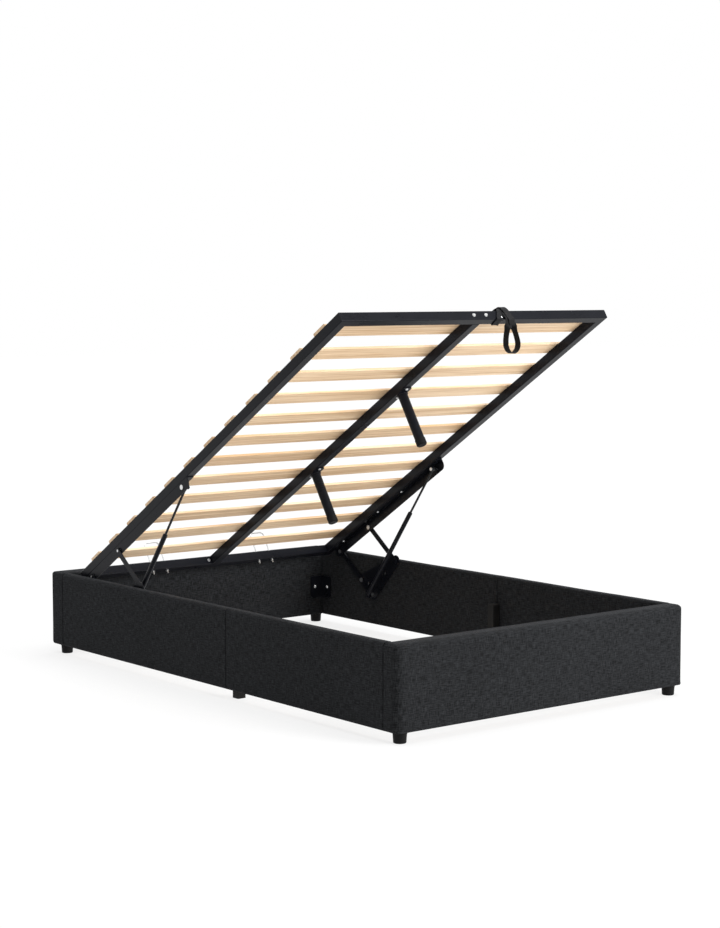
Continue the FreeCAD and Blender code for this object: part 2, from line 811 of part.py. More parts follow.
slat_total = int(size("slat_count"))
slat_pitch = (lid_length - size("slat_first") - size("slat_last")) / (slat_total - 1)
for number in range(slat_total):
    along = size("slat_first") + number * slat_pitch - size("slat_width") / 2
    spot = Vector(-value_of(SLAT_LENGTH) / 2, along, size("rail_side"))
    slat = new_body("slat_%02d" % (number + 1), open_lid.multiply(Placement(spot, Rotation())))
    sketch = new_sketch(slat, "XY_Plane")
    outline(sketch, [
        ("0", "0"), (SLAT_LENGTH, "0"),
        (SLAT_LENGTH, "Sizes.slat_width"), ("0", "Sizes.slat_width")])
    pad(slat, sketch, "Sizes.slat_thick")
    round_edges(slat, "Sizes.slat_round", lambda edge: runs_along(edge, X_AXIS))
    keep(slat)

# Centre legs: round tube legs under the centre rail, with a fixing plate and an end cap each

plate_bottom = "-Sizes.leg_plate_thick"
for name, place in (("front", "leg_front_place"), ("rear", "leg_rear_place")):
    spot = open_lid.multiply(Placement(Vector(0, size(place), 0), Rotation()))
    leg = new_body(name + "_leg", spot)
    profile = new_sketch(leg, "XZ_Plane")
    outline(profile, [
        ("Sizes.leg_dia / 2 - Sizes.leg_wall", plate_bottom),
        ("Sizes.leg_dia / 2", plate_bottom),
        ("Sizes.leg_dia / 2", "-" + LEG_LENGTH + " + Sizes.cap_floor"),
        ("Sizes.leg_dia / 2 - Sizes.leg_wall", "-" + LEG_LENGTH + " + Sizes.cap_floor")])
    revolve(leg, profile)
    keep(leg)

cap = new_body("leg_cap_moulding")
profile = new_sketch(cap, "XZ_Plane")
outline(profile, [
    ("0", "-" + LEG_LENGTH),
    ("Sizes.cap_dia / 2 - Sizes.cap_bevel", "-" + LEG_LENGTH),
    ("Sizes.cap_dia / 2", "-" + LEG_LENGTH + " + Sizes.cap_bevel"),
    ("Sizes.cap_dia / 2", "-" + LEG_LENGTH + " + Sizes.cap_height"),
    ("Sizes.leg_dia / 2", "-" + LEG_LENGTH + " + Sizes.cap_height"),
    ("Sizes.leg_dia / 2", "-" + LEG_LENGTH + " + Sizes.cap_floor"),
    ("0", "-" + LEG_LENGTH + " + Sizes.cap_floor")])
revolve(cap, profile)
leg_places = []
for place in ("leg_front_place", "leg_rear_place"):
    leg_places.append(open_lid.multiply(Placement(Vector(0, size(place), 0), Rotation())))
keep(group("leg_caps", cap.Shape, leg_places))

leg_plate = new_body("leg_plate_pressing")
sketch = new_sketch(leg_plate, "XY_Plane", -size("leg_plate_thick"))
half_plate = "Sizes.leg_plate_width / 2"
plate_reach = "Sizes.leg_plate_length / 2"
outline(sketch, [
    ("-" + half_plate, "-" + plate_reach), (half_plate, "-" + plate_reach),
    (half_plate, plate_reach), ("-" + half_plate, plate_reach)])
pad(leg_plate, sketch, "Sizes.leg_plate_thick")
round_edges(leg_plate, "Sizes.leg_plate_round", lambda edge: runs_along(edge, Z_AXIS))
holes = new_sketch(leg_plate, "XY_Plane")
for spread in ("-Sizes.leg_screw_spread", "Sizes.leg_screw_spread"):
    ring(holes, "0", spread, screw_hole)
pocket(leg_plate, holes, "2 * Sizes.leg_plate_thick + 2 * Sizes.overrun", centred=True)
collar = new_sketch(leg_plate, "XY_Plane", -size("leg_plate_thick"))
ring(collar, "0", "0", "Sizes.leg_collar_dia")
ring(collar, "0", "0", "Sizes.leg_dia")
pad(leg_plate, collar, "Sizes.leg_collar_height", backwards=True)
keep(group("leg_plates", leg_plate.Shape, leg_places))
lid_screw_spots = []
for place in leg_places:
    for sign in (-1, 1):
        spot = Vector(0, sign * size("leg_screw_spread"), -size("leg_plate_thick"))
        lid_screw_spots.append(place.multiply(Placement(spot, Rotation(X_AXIS, 2 * RIGHT_ANGLE))))

# Rail bolts: heads seen on the foot rail and on the head rail at the centre rail's ends

bolt = new_body("rail_bolt_turning")
profile = new_sketch(bolt, "XZ_Plane")
outline(profile, [
    ("0", "-Sizes.bolt_length"),
    ("Sizes.bolt_dia / 2", "-Sizes.bolt_length"),
    ("Sizes.bolt_dia / 2", "0"),
    ("Sizes.bolt_head_dia / 2", "0"),
    ("Sizes.bolt_head_dia / 2 * Sizes.head_crown_share", "Sizes.bolt_head_height"),
    ("0", "Sizes.bolt_head_height")])
revolve(bolt, profile)
rail_middle = size("rail_side") / 2
bolt_spots = []
for sign in (-1, 1):
    bolt_spots.append(Placement(Vector(sign * size("bolt_spread"), 0, rail_middle), into_y(1)))
head_face = lid_length - size("rail_side")
for sign in (-1, 1):
    bolt_spots.append(Placement(
        Vector(sign * size("bolt_spread"), head_face, rail_middle), into_y(1)))
keep(group("rail_bolts", bolt.Shape, [open_lid.multiply(spot) for spot in bolt_spots]))

# Mattress stops: bent wire hoops standing on the head rail, nutted below it

stop_along = lid_length - size("rail_side") / 2
half_hoop = size("stop_width") / 2
bend = size("stop_bend")
bend_share = 1.0 - math.sqrt(0.5)
hoop_top = size("rail_side") + size("stop_height")
hoop_foot = -size("stop_tail") - size("stop_nut_height")


def hoop(middle):
    """Bend one hoop of wire: two legs, two round corners and a bar across."""
    low = middle - half_hoop
    high = middle + half_hoop
    corner = bend * bend_share
    path = Part.Wire([
        Part.LineSegment(Vector(low, stop_along, hoop_foot), Vector(low, stop_along, hoop_top - bend)).toShape(),
        Part.Arc(
            Vector(low, stop_along, hoop_top - bend),
            Vector(low + corner, stop_along, hoop_top - corner),
            Vector(low + bend, stop_along, hoop_top)).toShape(),
        Part.LineSegment(
            Vector(low + bend, stop_along, hoop_top), Vector(high - bend, stop_along, hoop_top)).toShape(),
        Part.Arc(
            Vector(high - bend, stop_along, hoop_top),
            Vector(high - corner, stop_along, hoop_top - corner),
            Vector(high, stop_along, hoop_top - bend)).toShape(),
        Part.LineSegment(Vector(high, stop_along, hoop_top - bend), Vector(high, stop_along, hoop_foot)).toShape()])
    section = Part.Wire([Part.Circle(Vector(low, stop_along, hoop_foot), Z_AXIS, size("stop_wire") / 2).toShape()])
    return path.makePipeShell([section], True, False)


hoops = []
for side in SIDES:
    sign = sign_of(side)
    hoops.append(hoop(sign * size("stop_place")))
stops = doc.addObject("Part::Feature", "mattress_stops")
stops.Label = "mattress_stops"
stops.Shape = Part.makeCompound(hoops)
stops.Placement = open_lid
keep(stops)

nut = Part.makeCylinder(size("stop_nut_dia") / 2, size("stop_nut_height"))
nut = nut.cut(Part.makeCylinder(size("stop_wire") / 2, size("stop_nut_height")))
nut_spots = []
for side in SIDES:
    sign = sign_of(side)
    for end in (-1, 1):
        place_x = sign * size("stop_place") + end * half_hoop
        spot = Placement(Vector(place_x, stop_along, -size("stop_nut_height")), Rotation())
        nut_spots.append(open_lid.multiply(spot))
keep(group("stop_nuts", nut, nut_spots))

# Lift arms: steel angles under the side rails, with a rounded nose

arm_holes = [rear_on_lid, front_on_lid, strut_on_lid]
arm_end = lid_length - size("arm_tail_gap")
arm_start = arm_end - size("arm_length")
arm_screw_names = ("arm_screw_first", "arm_screw_second", "arm_screw_third")
flange_middle = lid_half - size("arm_flange") / 2 - size("arm_thick") / 2
for side in SIDES:
    sign = sign_of(side)
    arm = new_body(side + "_arm", open_lid)
    edge = half_lid if sign > 0 else "-" + half_lid
    toward = " - " if sign > 0 else " + "
    sketch = new_sketch(arm, "XZ_Plane", -arm_start)
    outline(sketch, [
        (edge, "0"), (edge, "-Sizes.arm_drop"),
        (edge + toward + "Sizes.arm_thick", "-Sizes.arm_drop"),
        (edge + toward + "Sizes.arm_thick", "-Sizes.arm_thick"),
        (edge + toward + "Sizes.arm_flange", "-Sizes.arm_thick"),
        (edge + toward + "Sizes.arm_flange", "0")])
    pad(arm, sketch, "Sizes.arm_length", backwards=True)
    for radius, end in (("Sizes.arm_nose_round", arm_start), ("Sizes.arm_tail_round", arm_end)):
        round_edges(
            arm, radius,
            lambda edge: runs_along(edge, X_AXIS)
            and near(edge.CenterOfMass.z, -size("arm_drop")) and near(edge.CenterOfMass.y, end))
    holes = new_sketch(arm, "YZ_Plane", sign * lid_half)
    for spot in arm_holes:
        ring(holes, y_of(spot), z_of(spot), pin_hole)
    pocket(arm, holes, "2 * Sizes.arm_thick + 2 * Sizes.overrun", centred=True)
    flange_holes = new_sketch(arm, "XY_Plane")
    middle = edge + toward + "Sizes.arm_flange / 2" + toward + "Sizes.arm_thick / 2"
    for name in arm_screw_names:
        ring(flange_holes, middle, LID_LENGTH + " - Sizes." + name, screw_hole)
    pocket(arm, flange_holes, "2 * Sizes.arm_thick + 2 * Sizes.overrun", centred=True)
    for name in arm_screw_names:
        spot = Vector(sign * flange_middle, lid_length - size(name), -size("arm_thick"))
        lid_screw_spots.append(open_lid.multiply(Placement(spot, Rotation(X_AXIS, 2 * RIGHT_ANGLE))))
    keep(arm)
keep(group("lid_screws", screw.Shape, lid_screw_spots))

# Pins on the lid: one for each link and one stud for each strut, all riveted in the arms

lid_pins = []
for side in SIDES:
    sign = sign_of(side)
    out = X_AXIS * sign
    for spot in (rear_on_lid, front_on_lid):
        head = Part.makeCylinder(
            size("pin_head_dia") / 2, size("pin_head_height"),
            Vector(sign * (web_inner - size("pin_head_height")), 0, 0), out)
        shoulder = Part.makeCylinder(
            size("pin_shoulder_dia") / 2, size("link_spacing") - size("face_play"),
            Vector(sign * web_outer, 0, 0), out)
        shank = Part.makeCylinder(size("pin_dia") / 2, link_outer - web_inner, Vector(sign * web_inner, 0, 0), out)
        rivet = head.fuse([shoulder, shank]).removeSplitter()
        rivet.translate(spot)
        lid_pins.append(rivet)
    stud_end = strut_side - size("eye_width") / 2 - size("face_play")
    stud_cap = Part.makeCylinder(
        size("stud_cap_dia") / 2, size("stud_cap_height"), Vector(sign * stud_end, 0, 0), out * -1)
    neck = Part.makeCylinder(
        size("eye_bore") / 2 - size("pin_play"), web_inner - stud_end, Vector(sign * stud_end, 0, 0), out)
    shoulder_start = strut_side + size("eye_width") / 2 + size("face_play")
    shoulder = Part.makeCylinder(
        size("stud_cap_dia") / 2, web_inner - shoulder_start, Vector(sign * shoulder_start, 0, 0), out)
    shank = Part.makeCylinder(size("pin_dia") / 2, size("arm_thick"), Vector(sign * web_inner, 0, 0), out)
    head = Part.makeCylinder(
        size("pin_head_dia") / 2, size("pin_head_height"), Vector(sign * web_outer, 0, 0), out)
    stud = stud_cap.fuse([neck, shoulder, shank, head]).removeSplitter()
    stud.translate(strut_on_lid)
    lid_pins.append(stud)
pins = doc.addObject("Part::Feature", "lid_pins")
pins.Label = "lid_pins"
pins.Shape = Part.makeCompound(lid_pins)
pins.Placement = open_lid
keep(pins)

# Gas struts: rods hang from the lid's studs, tubes slide on the rods and reach the base pedestals

strut_turn = Rotation(Z_AXIS, strut_run)
eye_hole = "Sizes.eye_bore"
rod_reach = "Sizes.rod_hidden"
for side in SIDES:
    sign = sign_of(side)
    across = Vector(sign * strut_side, 0, 0)
    tube = new_body(side + "_strut_tube", Placement(strut_base + across, strut_turn))
    profile = new_sketch(tube, "XZ_Plane")
    outline(profile, [
        ("0", "0"),
        ("Sizes.tube_dia / 2", "0"),
        ("Sizes.tube_dia / 2", "Sizes.tube_length"),
        ("Sizes.rod_dia / 2 + Sizes.rod_play", "Sizes.tube_length"),
        ("Sizes.rod_dia / 2 + Sizes.rod_play", "Sizes.tube_length - Sizes.tube_neck"),
        ("Sizes.tube_bore / 2", "Sizes.tube_length - Sizes.tube_neck"),
        ("Sizes.tube_bore / 2", "Sizes.eye_dia"),
        ("0", "Sizes.eye_dia")])
    revolve(tube, profile)
    round_edges(
        tube, "Sizes.tube_neck_round",
        lambda edge: near(edge.BoundBox.ZMin, size("tube_length")) and edge.Length > math.pi * size("tube_bore"))
    eye = new_sketch(tube, "YZ_Plane")
    ring(eye, "0", "0", "Sizes.eye_dia")
    pad(tube, eye, "Sizes.eye_width", centred=True)
    keep(tube)

    rod = new_body(side + "_strut_rod", Placement(strut_open + across, strut_turn))
    exposed = "(%.6f - Sizes.tube_length)" % strut_length
    profile = new_sketch(rod, "XZ_Plane")
    outline(profile, [
        ("0", "0"),
        ("Sizes.eye_ferrule_dia / 2", "0"),
        ("Sizes.eye_ferrule_dia / 2", "-Sizes.eye_dia / 2 - Sizes.eye_ferrule"),
        ("Sizes.rod_dia / 2", "-Sizes.eye_dia / 2 - Sizes.eye_ferrule"),
        ("Sizes.rod_dia / 2", "-" + exposed + " - " + rod_reach),
        ("Sizes.tube_bore / 2 - Sizes.piston_play", "-" + exposed + " - " + rod_reach),
        ("Sizes.tube_bore / 2 - Sizes.piston_play", "-" + exposed + " - " + rod_reach + " - Sizes.piston_length"),
        ("0", "-" + exposed + " - " + rod_reach + " - Sizes.piston_length")])
    revolve(rod, profile)
    eye = new_sketch(rod, "YZ_Plane")
    ring(eye, "0", "0", "Sizes.eye_dia")
    pad(rod, eye, "Sizes.eye_width", centred=True)
    bore = new_sketch(rod, "YZ_Plane")
    ring(bore, "0", "0", eye_hole)
    pocket(rod, bore, "Sizes.eye_width + 2 * Sizes.overrun", centred=True)
    keep(rod)

# Pull strap: a loose band round the foot rail and a hand loop that hangs plumb from its front

play = size("strap_play")
thick = size("strap_thick")
rail_side = size("rail_side")


def wrap_wire(slack, hump):
    """Return the band's section line: close below and at the sides, arched over the rail."""
    low = -slack
    high = rail_side + slack
    crown = Vector(0, rail_side / 2, rail_side + hump)
    corners = [Vector(0, low, rail_side), Vector(0, low, low), Vector(0, high, low), Vector(0, high, rail_side)]
    edges = []
    for start, finish in zip(corners, corners[1:]):
        edges.append(Part.LineSegment(start, finish).toShape())
    edges.append(Part.Arc(corners[-1], crown, corners[0]).toShape())
    return Part.Wire(edges)


band = Part.Face(wrap_wire(play + thick, size("strap_hump"))).cut(
    Part.Face(wrap_wire(play, size("strap_hump") - thick)))
wrap = doc.addObject("Part::Feature", "strap_wrap")
wrap.Label = "strap_wrap"
wrap.Shape = band.extrude(Vector(size("strap_width"), 0, 0))
wrap_start = Vector(size("strap_place") - size("strap_width") / 2, 0, 0)
wrap.Placement = open_lid.multiply(Placement(wrap_start, Rotation()))
keep(wrap)

# The loop's own origin is on its hinge line, at the band's front lower edge
strap_corner = open_lid.multVec(Vector(size("strap_place"), -play - thick, -play - thick))
lead = size("strap_lead")
loop_band = size("strap_loop_band")
loop_radius = size("strap_loop_width") / 2
loop_middle = size("strap_drop") - loop_radius


def flat_wire(middle, half_x, low_y, high_y, height):
    """Return a level rectangle's wire."""
    low_x = middle - half_x
    high_x = middle + half_x
    corners = [
        Vector(low_x, low_y, height), Vector(high_x, low_y, height),
        Vector(high_x, high_y, height), Vector(low_x, high_y, height)]
    return Part.makePolygon(corners + corners[:1])


def teardrop(top_half, radius, top):
    """Return the wire of a drop: two straight strands tangent to a round lower end."""
    fall = loop_middle - top
    reach = math.hypot(fall, top_half)
    swing = math.acos(radius / reach) + math.atan2(top_half, fall)
    touch = Vector(radius * math.sin(swing), 0, -loop_middle + radius * math.cos(swing))
    mirrored = Vector(-touch.x, 0, touch.z)
    high = Vector(top_half, 0, -top)
    other = Vector(-top_half, 0, -top)
    edges = [
        Part.LineSegment(high, touch).toShape(),
        Part.Arc(touch, Vector(0, 0, -loop_middle - radius), mirrored).toShape(),
        Part.LineSegment(mirrored, other).toShape(),
        Part.LineSegment(other, high).toShape()]
    return Part.Wire(Part.__sortEdges__(edges))


strap_front = -2 * thick - play
band_front = (strap_front - play) / 2 - loop_band / 2
twist = Part.makeLoft([
    flat_wire(0.0, size("strap_width") / 2, strap_front, -play, -play),
    flat_wire(size("strap_shift"), thick, band_front, band_front + loop_band, -lead)], True, True)
drop = Part.Face(teardrop(thick, loop_radius, lead)).cut(
    Part.Face(teardrop(thick / 4, loop_radius - thick, lead + 2 * thick)))
strands = drop.extrude(Vector(0, loop_band, 0))
strands.translate(Vector(size("strap_shift"), band_front, 0))
loop = doc.addObject("Part::Feature", "strap_loop")
loop.Label = "strap_loop"
loop.Shape = twist.fuse(strands).removeSplitter()
loop.Placement = Placement(strap_corner, Rotation())
keep(loop)

# Build, check and write

doc.recompute()
for item in doc.Objects:
    if "Invalid" in item.State or "Error" in item.State:
        raise RuntimeError("failed: " + item.Label + " " + str(item.State))
for node in nodes:
    if node.Shape.isNull() or not node.Shape.isValid():
        raise RuntimeError("bad shape: " + node.Label)
for node in nodes:
    node.Shape.exportStep("parts/" + node.Label + ".step")

print("nodes", len(nodes))
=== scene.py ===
"""Looks of a lift-up storage bed frame: woven upholstery, painted tube, slats, zinc and webbing.

Every piece is in metres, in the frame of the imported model: +X right seen from the foot, +Y to
the head, +Z up, with the floor at zero.
"""

import json
import logging
import math
from dataclasses import dataclass, field
from enum import Enum

import bmesh
import bpy
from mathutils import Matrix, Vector, noise

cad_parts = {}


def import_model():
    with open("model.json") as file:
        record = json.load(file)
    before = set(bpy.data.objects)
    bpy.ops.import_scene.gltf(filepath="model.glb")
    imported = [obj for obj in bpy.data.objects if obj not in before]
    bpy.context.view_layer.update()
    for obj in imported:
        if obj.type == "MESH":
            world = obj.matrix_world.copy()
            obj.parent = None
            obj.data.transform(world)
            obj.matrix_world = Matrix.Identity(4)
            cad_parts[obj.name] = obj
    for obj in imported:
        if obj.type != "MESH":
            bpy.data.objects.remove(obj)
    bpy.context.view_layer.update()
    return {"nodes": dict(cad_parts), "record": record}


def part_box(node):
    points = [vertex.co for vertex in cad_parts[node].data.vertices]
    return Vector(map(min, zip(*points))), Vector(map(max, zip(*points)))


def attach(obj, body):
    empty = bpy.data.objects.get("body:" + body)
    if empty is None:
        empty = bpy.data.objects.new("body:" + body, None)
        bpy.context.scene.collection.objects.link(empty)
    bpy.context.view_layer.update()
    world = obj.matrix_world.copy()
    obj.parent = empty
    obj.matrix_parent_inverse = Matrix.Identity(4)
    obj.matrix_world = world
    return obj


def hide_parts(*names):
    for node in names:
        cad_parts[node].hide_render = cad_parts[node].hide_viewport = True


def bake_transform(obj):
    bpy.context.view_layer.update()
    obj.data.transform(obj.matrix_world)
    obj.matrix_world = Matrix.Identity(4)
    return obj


LOG = logging.getLogger("storage_bed_frame")
MM = 0.001
LID_TILT = math.radians(32.15)
# Points closer than this lie on one plane
NEAR = 1e-5

Colour = tuple[float, float, float]
Point = tuple[float, float, float]
Socket = bpy.types.NodeSocket


class Body(Enum):
    """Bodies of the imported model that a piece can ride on."""

    BASE = "base"
    LID = "lid"
    STRAP = "strap"


class Slot(Enum):
    """Material slots of the record."""

    UPHOLSTERY = "upholstery"
    BOARD = "panel_board"
    POST = "post_wood"
    SLAT = "slat_wood"
    STEEL = "black_steel"
    ZINC = "zinc_steel"
    ROD = "dark_rod"
    PLASTIC = "black_plastic"
    WEBBING = "webbing"


class Axis(Enum):
    """Axes of the frame, by their place in a vector."""

    X = 0
    Y = 1
    Z = 2

    def unit(self) -> Vector:
        """Return the unit vector along this axis."""
        return Vector([1.0 if place == self.value else 0.0 for place in range(3)])


# Shader wiring

VALUE = "NodeSocketFloat"
VECTOR = "NodeSocketVector"
# Most of a noise lies between these
CLOUD_LOW, CLOUD_HIGH = 0.3, 0.7


class Wiring:
    """Places and links nodes in one shader tree."""

    def __init__(self, tree: bpy.types.NodeTree) -> None:
        """Keep the tree that the nodes go into."""
        self.tree = tree

    def add(self, kind: str, **settings: object) -> bpy.types.Node:
        """Add a node.

        Args:
            kind: the node's type name.
            settings: attributes to set on it.

        Returns:
            The new node.
        """
        node = self.tree.nodes.new(kind)
        for name, value in settings.items():
            setattr(node, name, value)
        return node

    def feed(self, target: Socket, source: object) -> None:
        """Link a socket to another one, or set its plain value.

        Args:
            target: the input socket.
            source: an output socket or a value.
        """
        if isinstance(source, Socket):
            self.tree.links.new(source, target)
        else:
            target.default_value = source

    def math(self, operation: str, first: object, second: object = 0.0) -> Socket:
        """Work out a Math node on two sockets or values.

        Args:
            operation: the node's operation.
            first: the first socket or value.
            second: the second socket or value.

        Returns:
            The node's output.
        """
        node = self.add("ShaderNodeMath", operation=operation)
        self.feed(node.inputs[0], first)
        self.feed(node.inputs[1], second)
        return node.outputs[0]

    def plus(self, base: object, extra: object, share: float) -> Socket:
        """Return a value with a share of another one added."""
        return self.math("ADD", base, self.math("MULTIPLY", extra, share))

    def stretch(self, vector: object, scale: Point) -> Socket:
        """Scale a vector along its three parts.

        Args:
            vector: the coordinates.
            scale: the factor for each part.

        Returns:
            The scaled coordinates.
        """
        node = self.add("ShaderNodeMapping")
        self.feed(node.inputs["Vector"], vector)
        node.inputs["Scale"].default_value = scale
        return node.outputs["Vector"]

    def cloud(self, vector: object, scale: object = 1.0, detail: float = 2.0) -> Socket:
        """Spread a noise over a vector.

        Args:
            vector: the coordinates.
            scale: the noise's scale, a socket or a value.
            detail: how many finer layers it has.

        Returns:
            The noise's value.
        """
        node = self.add("ShaderNodeTexNoise")
        self.feed(node.inputs["Vector"], vector)
        self.feed(node.inputs["Scale"], scale)
        node.inputs["Detail"].default_value = detail
        return node.outputs["Fac"]

    def fit(self, value: object, low: float, high: float, start: float, end: float) -> Socket:
        """Map a value from one range to another, clamped.

        Args:
            value: the socket or value to map.
            low: where its range starts.
            high: where its range ends.
            start: the result at the low end.
            end: the result at the high end.

        Returns:
            The mapped value.
        """
        node = self.add("ShaderNodeMapRange")
        names = ("Value", "From Min", "From Max", "To Min", "To Max")
        for name, item in zip(names, (value, low, high, start, end)):
            self.feed(node.inputs[name], item)
        return node.outputs["Result"]

    def parts(self, vector: object) -> bpy.types.NodeOutputs:
        """Split a vector into its three parts.

        Args:
            vector: the coordinates.

        Returns:
            The outputs X, Y and Z.
        """
        node = self.add("ShaderNodeSeparateXYZ")
        self.feed(node.inputs[0], vector)
        return node.outputs

    def tint(self, mask: object, dark: Colour, light: Colour) -> Socket:
        """Mix two colours by a mask.

        Args:
            mask: 0 for the dark colour, 1 for the light one.
            dark: the first colour.
            light: the second colour.

        Returns:
            The mixed colour.
        """
        node = self.add("ShaderNodeMix", data_type="RGBA")
        self.feed(node.inputs["Factor"], mask)
        node.inputs["A"].default_value = (*dark, 1.0)
        node.inputs["B"].default_value = (*light, 1.0)
        return node.outputs["Result"]

    def seen(self) -> Socket:
        """Return 1 for a ray that shows the surface, camera or glossy, and 0 for any other."""
        rays = self.add("ShaderNodeLightPath")
        return self.math("MAXIMUM", rays.outputs["Is Camera Ray"], rays.outputs["Is Glossy Ray"])


def shader_group(
        name: str, inputs: tuple[str, ...],
        outputs: tuple[str, ...]) -> tuple[Wiring, bpy.types.NodeOutputs, bpy.types.NodeInputs]:
    """Start a shader node group that reads a vector and plain values.

    Args:
        name: the group's name.
        inputs: names of its values.
        outputs: names of its results.

    Returns:
        The group's wiring, what comes into it and what goes out of it.
    """
    group = bpy.data.node_groups.new(name, "ShaderNodeTree")
    group.interface.new_socket("Vector", in_out="INPUT", socket_type=VECTOR)
    for label in inputs:
        group.interface.new_socket(label, in_out="INPUT", socket_type=VALUE)
    for label in outputs:
        group.interface.new_socket(label, in_out="OUTPUT", socket_type=VALUE)
    wire = Wiring(group)
    return wire, wire.add("NodeGroupInput").outputs, wire.add("NodeGroupOutput").inputs


@dataclass(frozen=True)
class Weave:
    """Effect of crossing threads, with slubs along both directions."""

    weft_slub: Point = (38.0, 400.0, 1.0)
    warp_slub: Point = (400.0, 42.0, 1.0)
    speck: float = 300.0
    weft_share: float = 0.44
    warp_share: float = 0.4
    speck_share: float = 0.16
    slub_low: float = 0.39
    slub_high: float = 0.61
    rib: float = 0.3
    thread_tone: float = 0.4
    base_tone: float = 0.28
    slub_height: float = 0.6

    def build(self) -> bpy.types.NodeTree:
        """Build the effect's group.

        Returns:
            The group, with Threads to the metre and the strength of the Slub.
        """
        wire, source, sink = shader_group("Crossing threads", ("Threads", "Slub"), ("Tone", "Height"))
        vector = source["Vector"]
        flat = wire.parts(vector)
        waves = []
        for part in ("X", "Y"):
            turns = wire.math("MULTIPLY", flat[part], source["Threads"])
            angle = wire.math("MULTIPLY", turns, math.pi)
            waves.append(wire.math("ABSOLUTE", wire.math("SINE", angle)))
        over = wire.math("MULTIPLY", wire.math("SUBTRACT", waves[0], waves[1]), 0.5)
        height = wire.plus(wire.math("ABSOLUTE", over), waves[0], self.rib)
        weft = wire.cloud(wire.stretch(vector, self.weft_slub), detail=1.0)
        warp = wire.cloud(wire.stretch(vector, self.warp_slub), detail=1.0)
        speck = wire.cloud(vector, self.speck, detail=1.0)
        streak = wire.plus(wire.math("MULTIPLY", weft, self.weft_share), warp, self.warp_share)
        streak = wire.plus(streak, speck, self.speck_share)
        slub = wire.fit(streak, self.slub_low, self.slub_high, -1.0, 1.0)
        slub = wire.math("MULTIPLY", slub, source["Slub"])
        tone = wire.math("ADD", wire.math("MULTIPLY", height, self.thread_tone), slub)
        wire.feed(sink["Tone"], wire.math("ADD", tone, self.base_tone))
        wire.feed(sink["Height"], wire.plus(height, slub, self.slub_height))
        return wire.tree


@dataclass(frozen=True)
class Grain:
    """Effect of wood grain that runs along the vector's X."""

    drift: Point = (1.2, 9.0, 9.0)
    fibre: Point = (7.0, 420.0, 420.0)
    band: Point = (1.6, 95.0, 95.0)
    lean: float = 0.4
    bend: float = 0.05
    ring_tone: float = 0.14
    fibre_tone: float = 0.3
    band_tone: float = 0.34
    band_low: float = 0.32
    band_high: float = 0.68
    drift_tone: float = 0.9

    def build(self) -> bpy.types.NodeTree:
        """Build the effect's group.

        Returns:
            The group, with Rings as turns of the ring pattern, in radians to the metre.
        """
        wire, source, sink = shader_group("Long grain", ("Rings",), ("Tone", "Height"))
        vector = source["Vector"]
        drift = wire.cloud(wire.stretch(vector, self.drift), detail=3.0)
        flat = wire.parts(vector)
        across = wire.plus(flat["Y"], flat["Z"], self.lean)
        bent = wire.plus(across, drift, self.bend)
        rings = wire.math("SINE", wire.math("MULTIPLY", bent, source["Rings"]))
        fibre = wire.cloud(wire.stretch(vector, self.fibre), detail=3.0)
        band = wire.cloud(wire.stretch(vector, self.band), detail=2.0)
        streak = wire.fit(fibre, CLOUD_LOW, CLOUD_HIGH, -self.fibre_tone, self.fibre_tone)
        broad = wire.fit(band, self.band_low, self.band_high, -self.band_tone, self.band_tone)
        tone = wire.math("ADD", wire.math("MULTIPLY", rings, self.ring_tone), streak)
        tone = wire.math("ADD", tone, broad)
        wire.feed(sink["Tone"], wire.plus(tone, drift, self.drift_tone))
        wire.feed(sink["Height"], fibre)
        return wire.tree


@dataclass(frozen=True)
class Scuff:
    """Effect of fine handling marks on a grained surface."""

    patch: float = 9.0
    brushed: Point = (60.0, 60.0, 600.0)
    patch_share: float = 0.7
    brushed_share: float = 0.3

    def build(self) -> bpy.types.NodeTree:
        """Build the effect's group.

        Returns:
            The group, with Grain as the scale of the surface's relief.
        """
        wire, source, sink = shader_group("Handled surface", ("Grain",), ("Mark", "Height"))
        vector = source["Vector"]
        patch = wire.cloud(vector, self.patch, detail=4.0)
        brushed = wire.cloud(wire.stretch(vector, self.brushed), detail=2.0)
        mark = wire.plus(wire.math("MULTIPLY", patch, self.patch_share), brushed, self.brushed_share)
        wire.feed(sink["Mark"], wire.fit(mark, CLOUD_LOW, CLOUD_HIGH, 0.0, 1.0))
        wire.feed(sink["Height"], wire.cloud(vector, source["Grain"]))
        return wire.tree


class Effects:
    """Shader groups that several finishes share, built once."""

    def __init__(self) -> None:
        """Build every group."""
        self.weave = Weave().build()
        self.grain = Grain().build()
        self.scuff = Scuff().build()


# Finishes


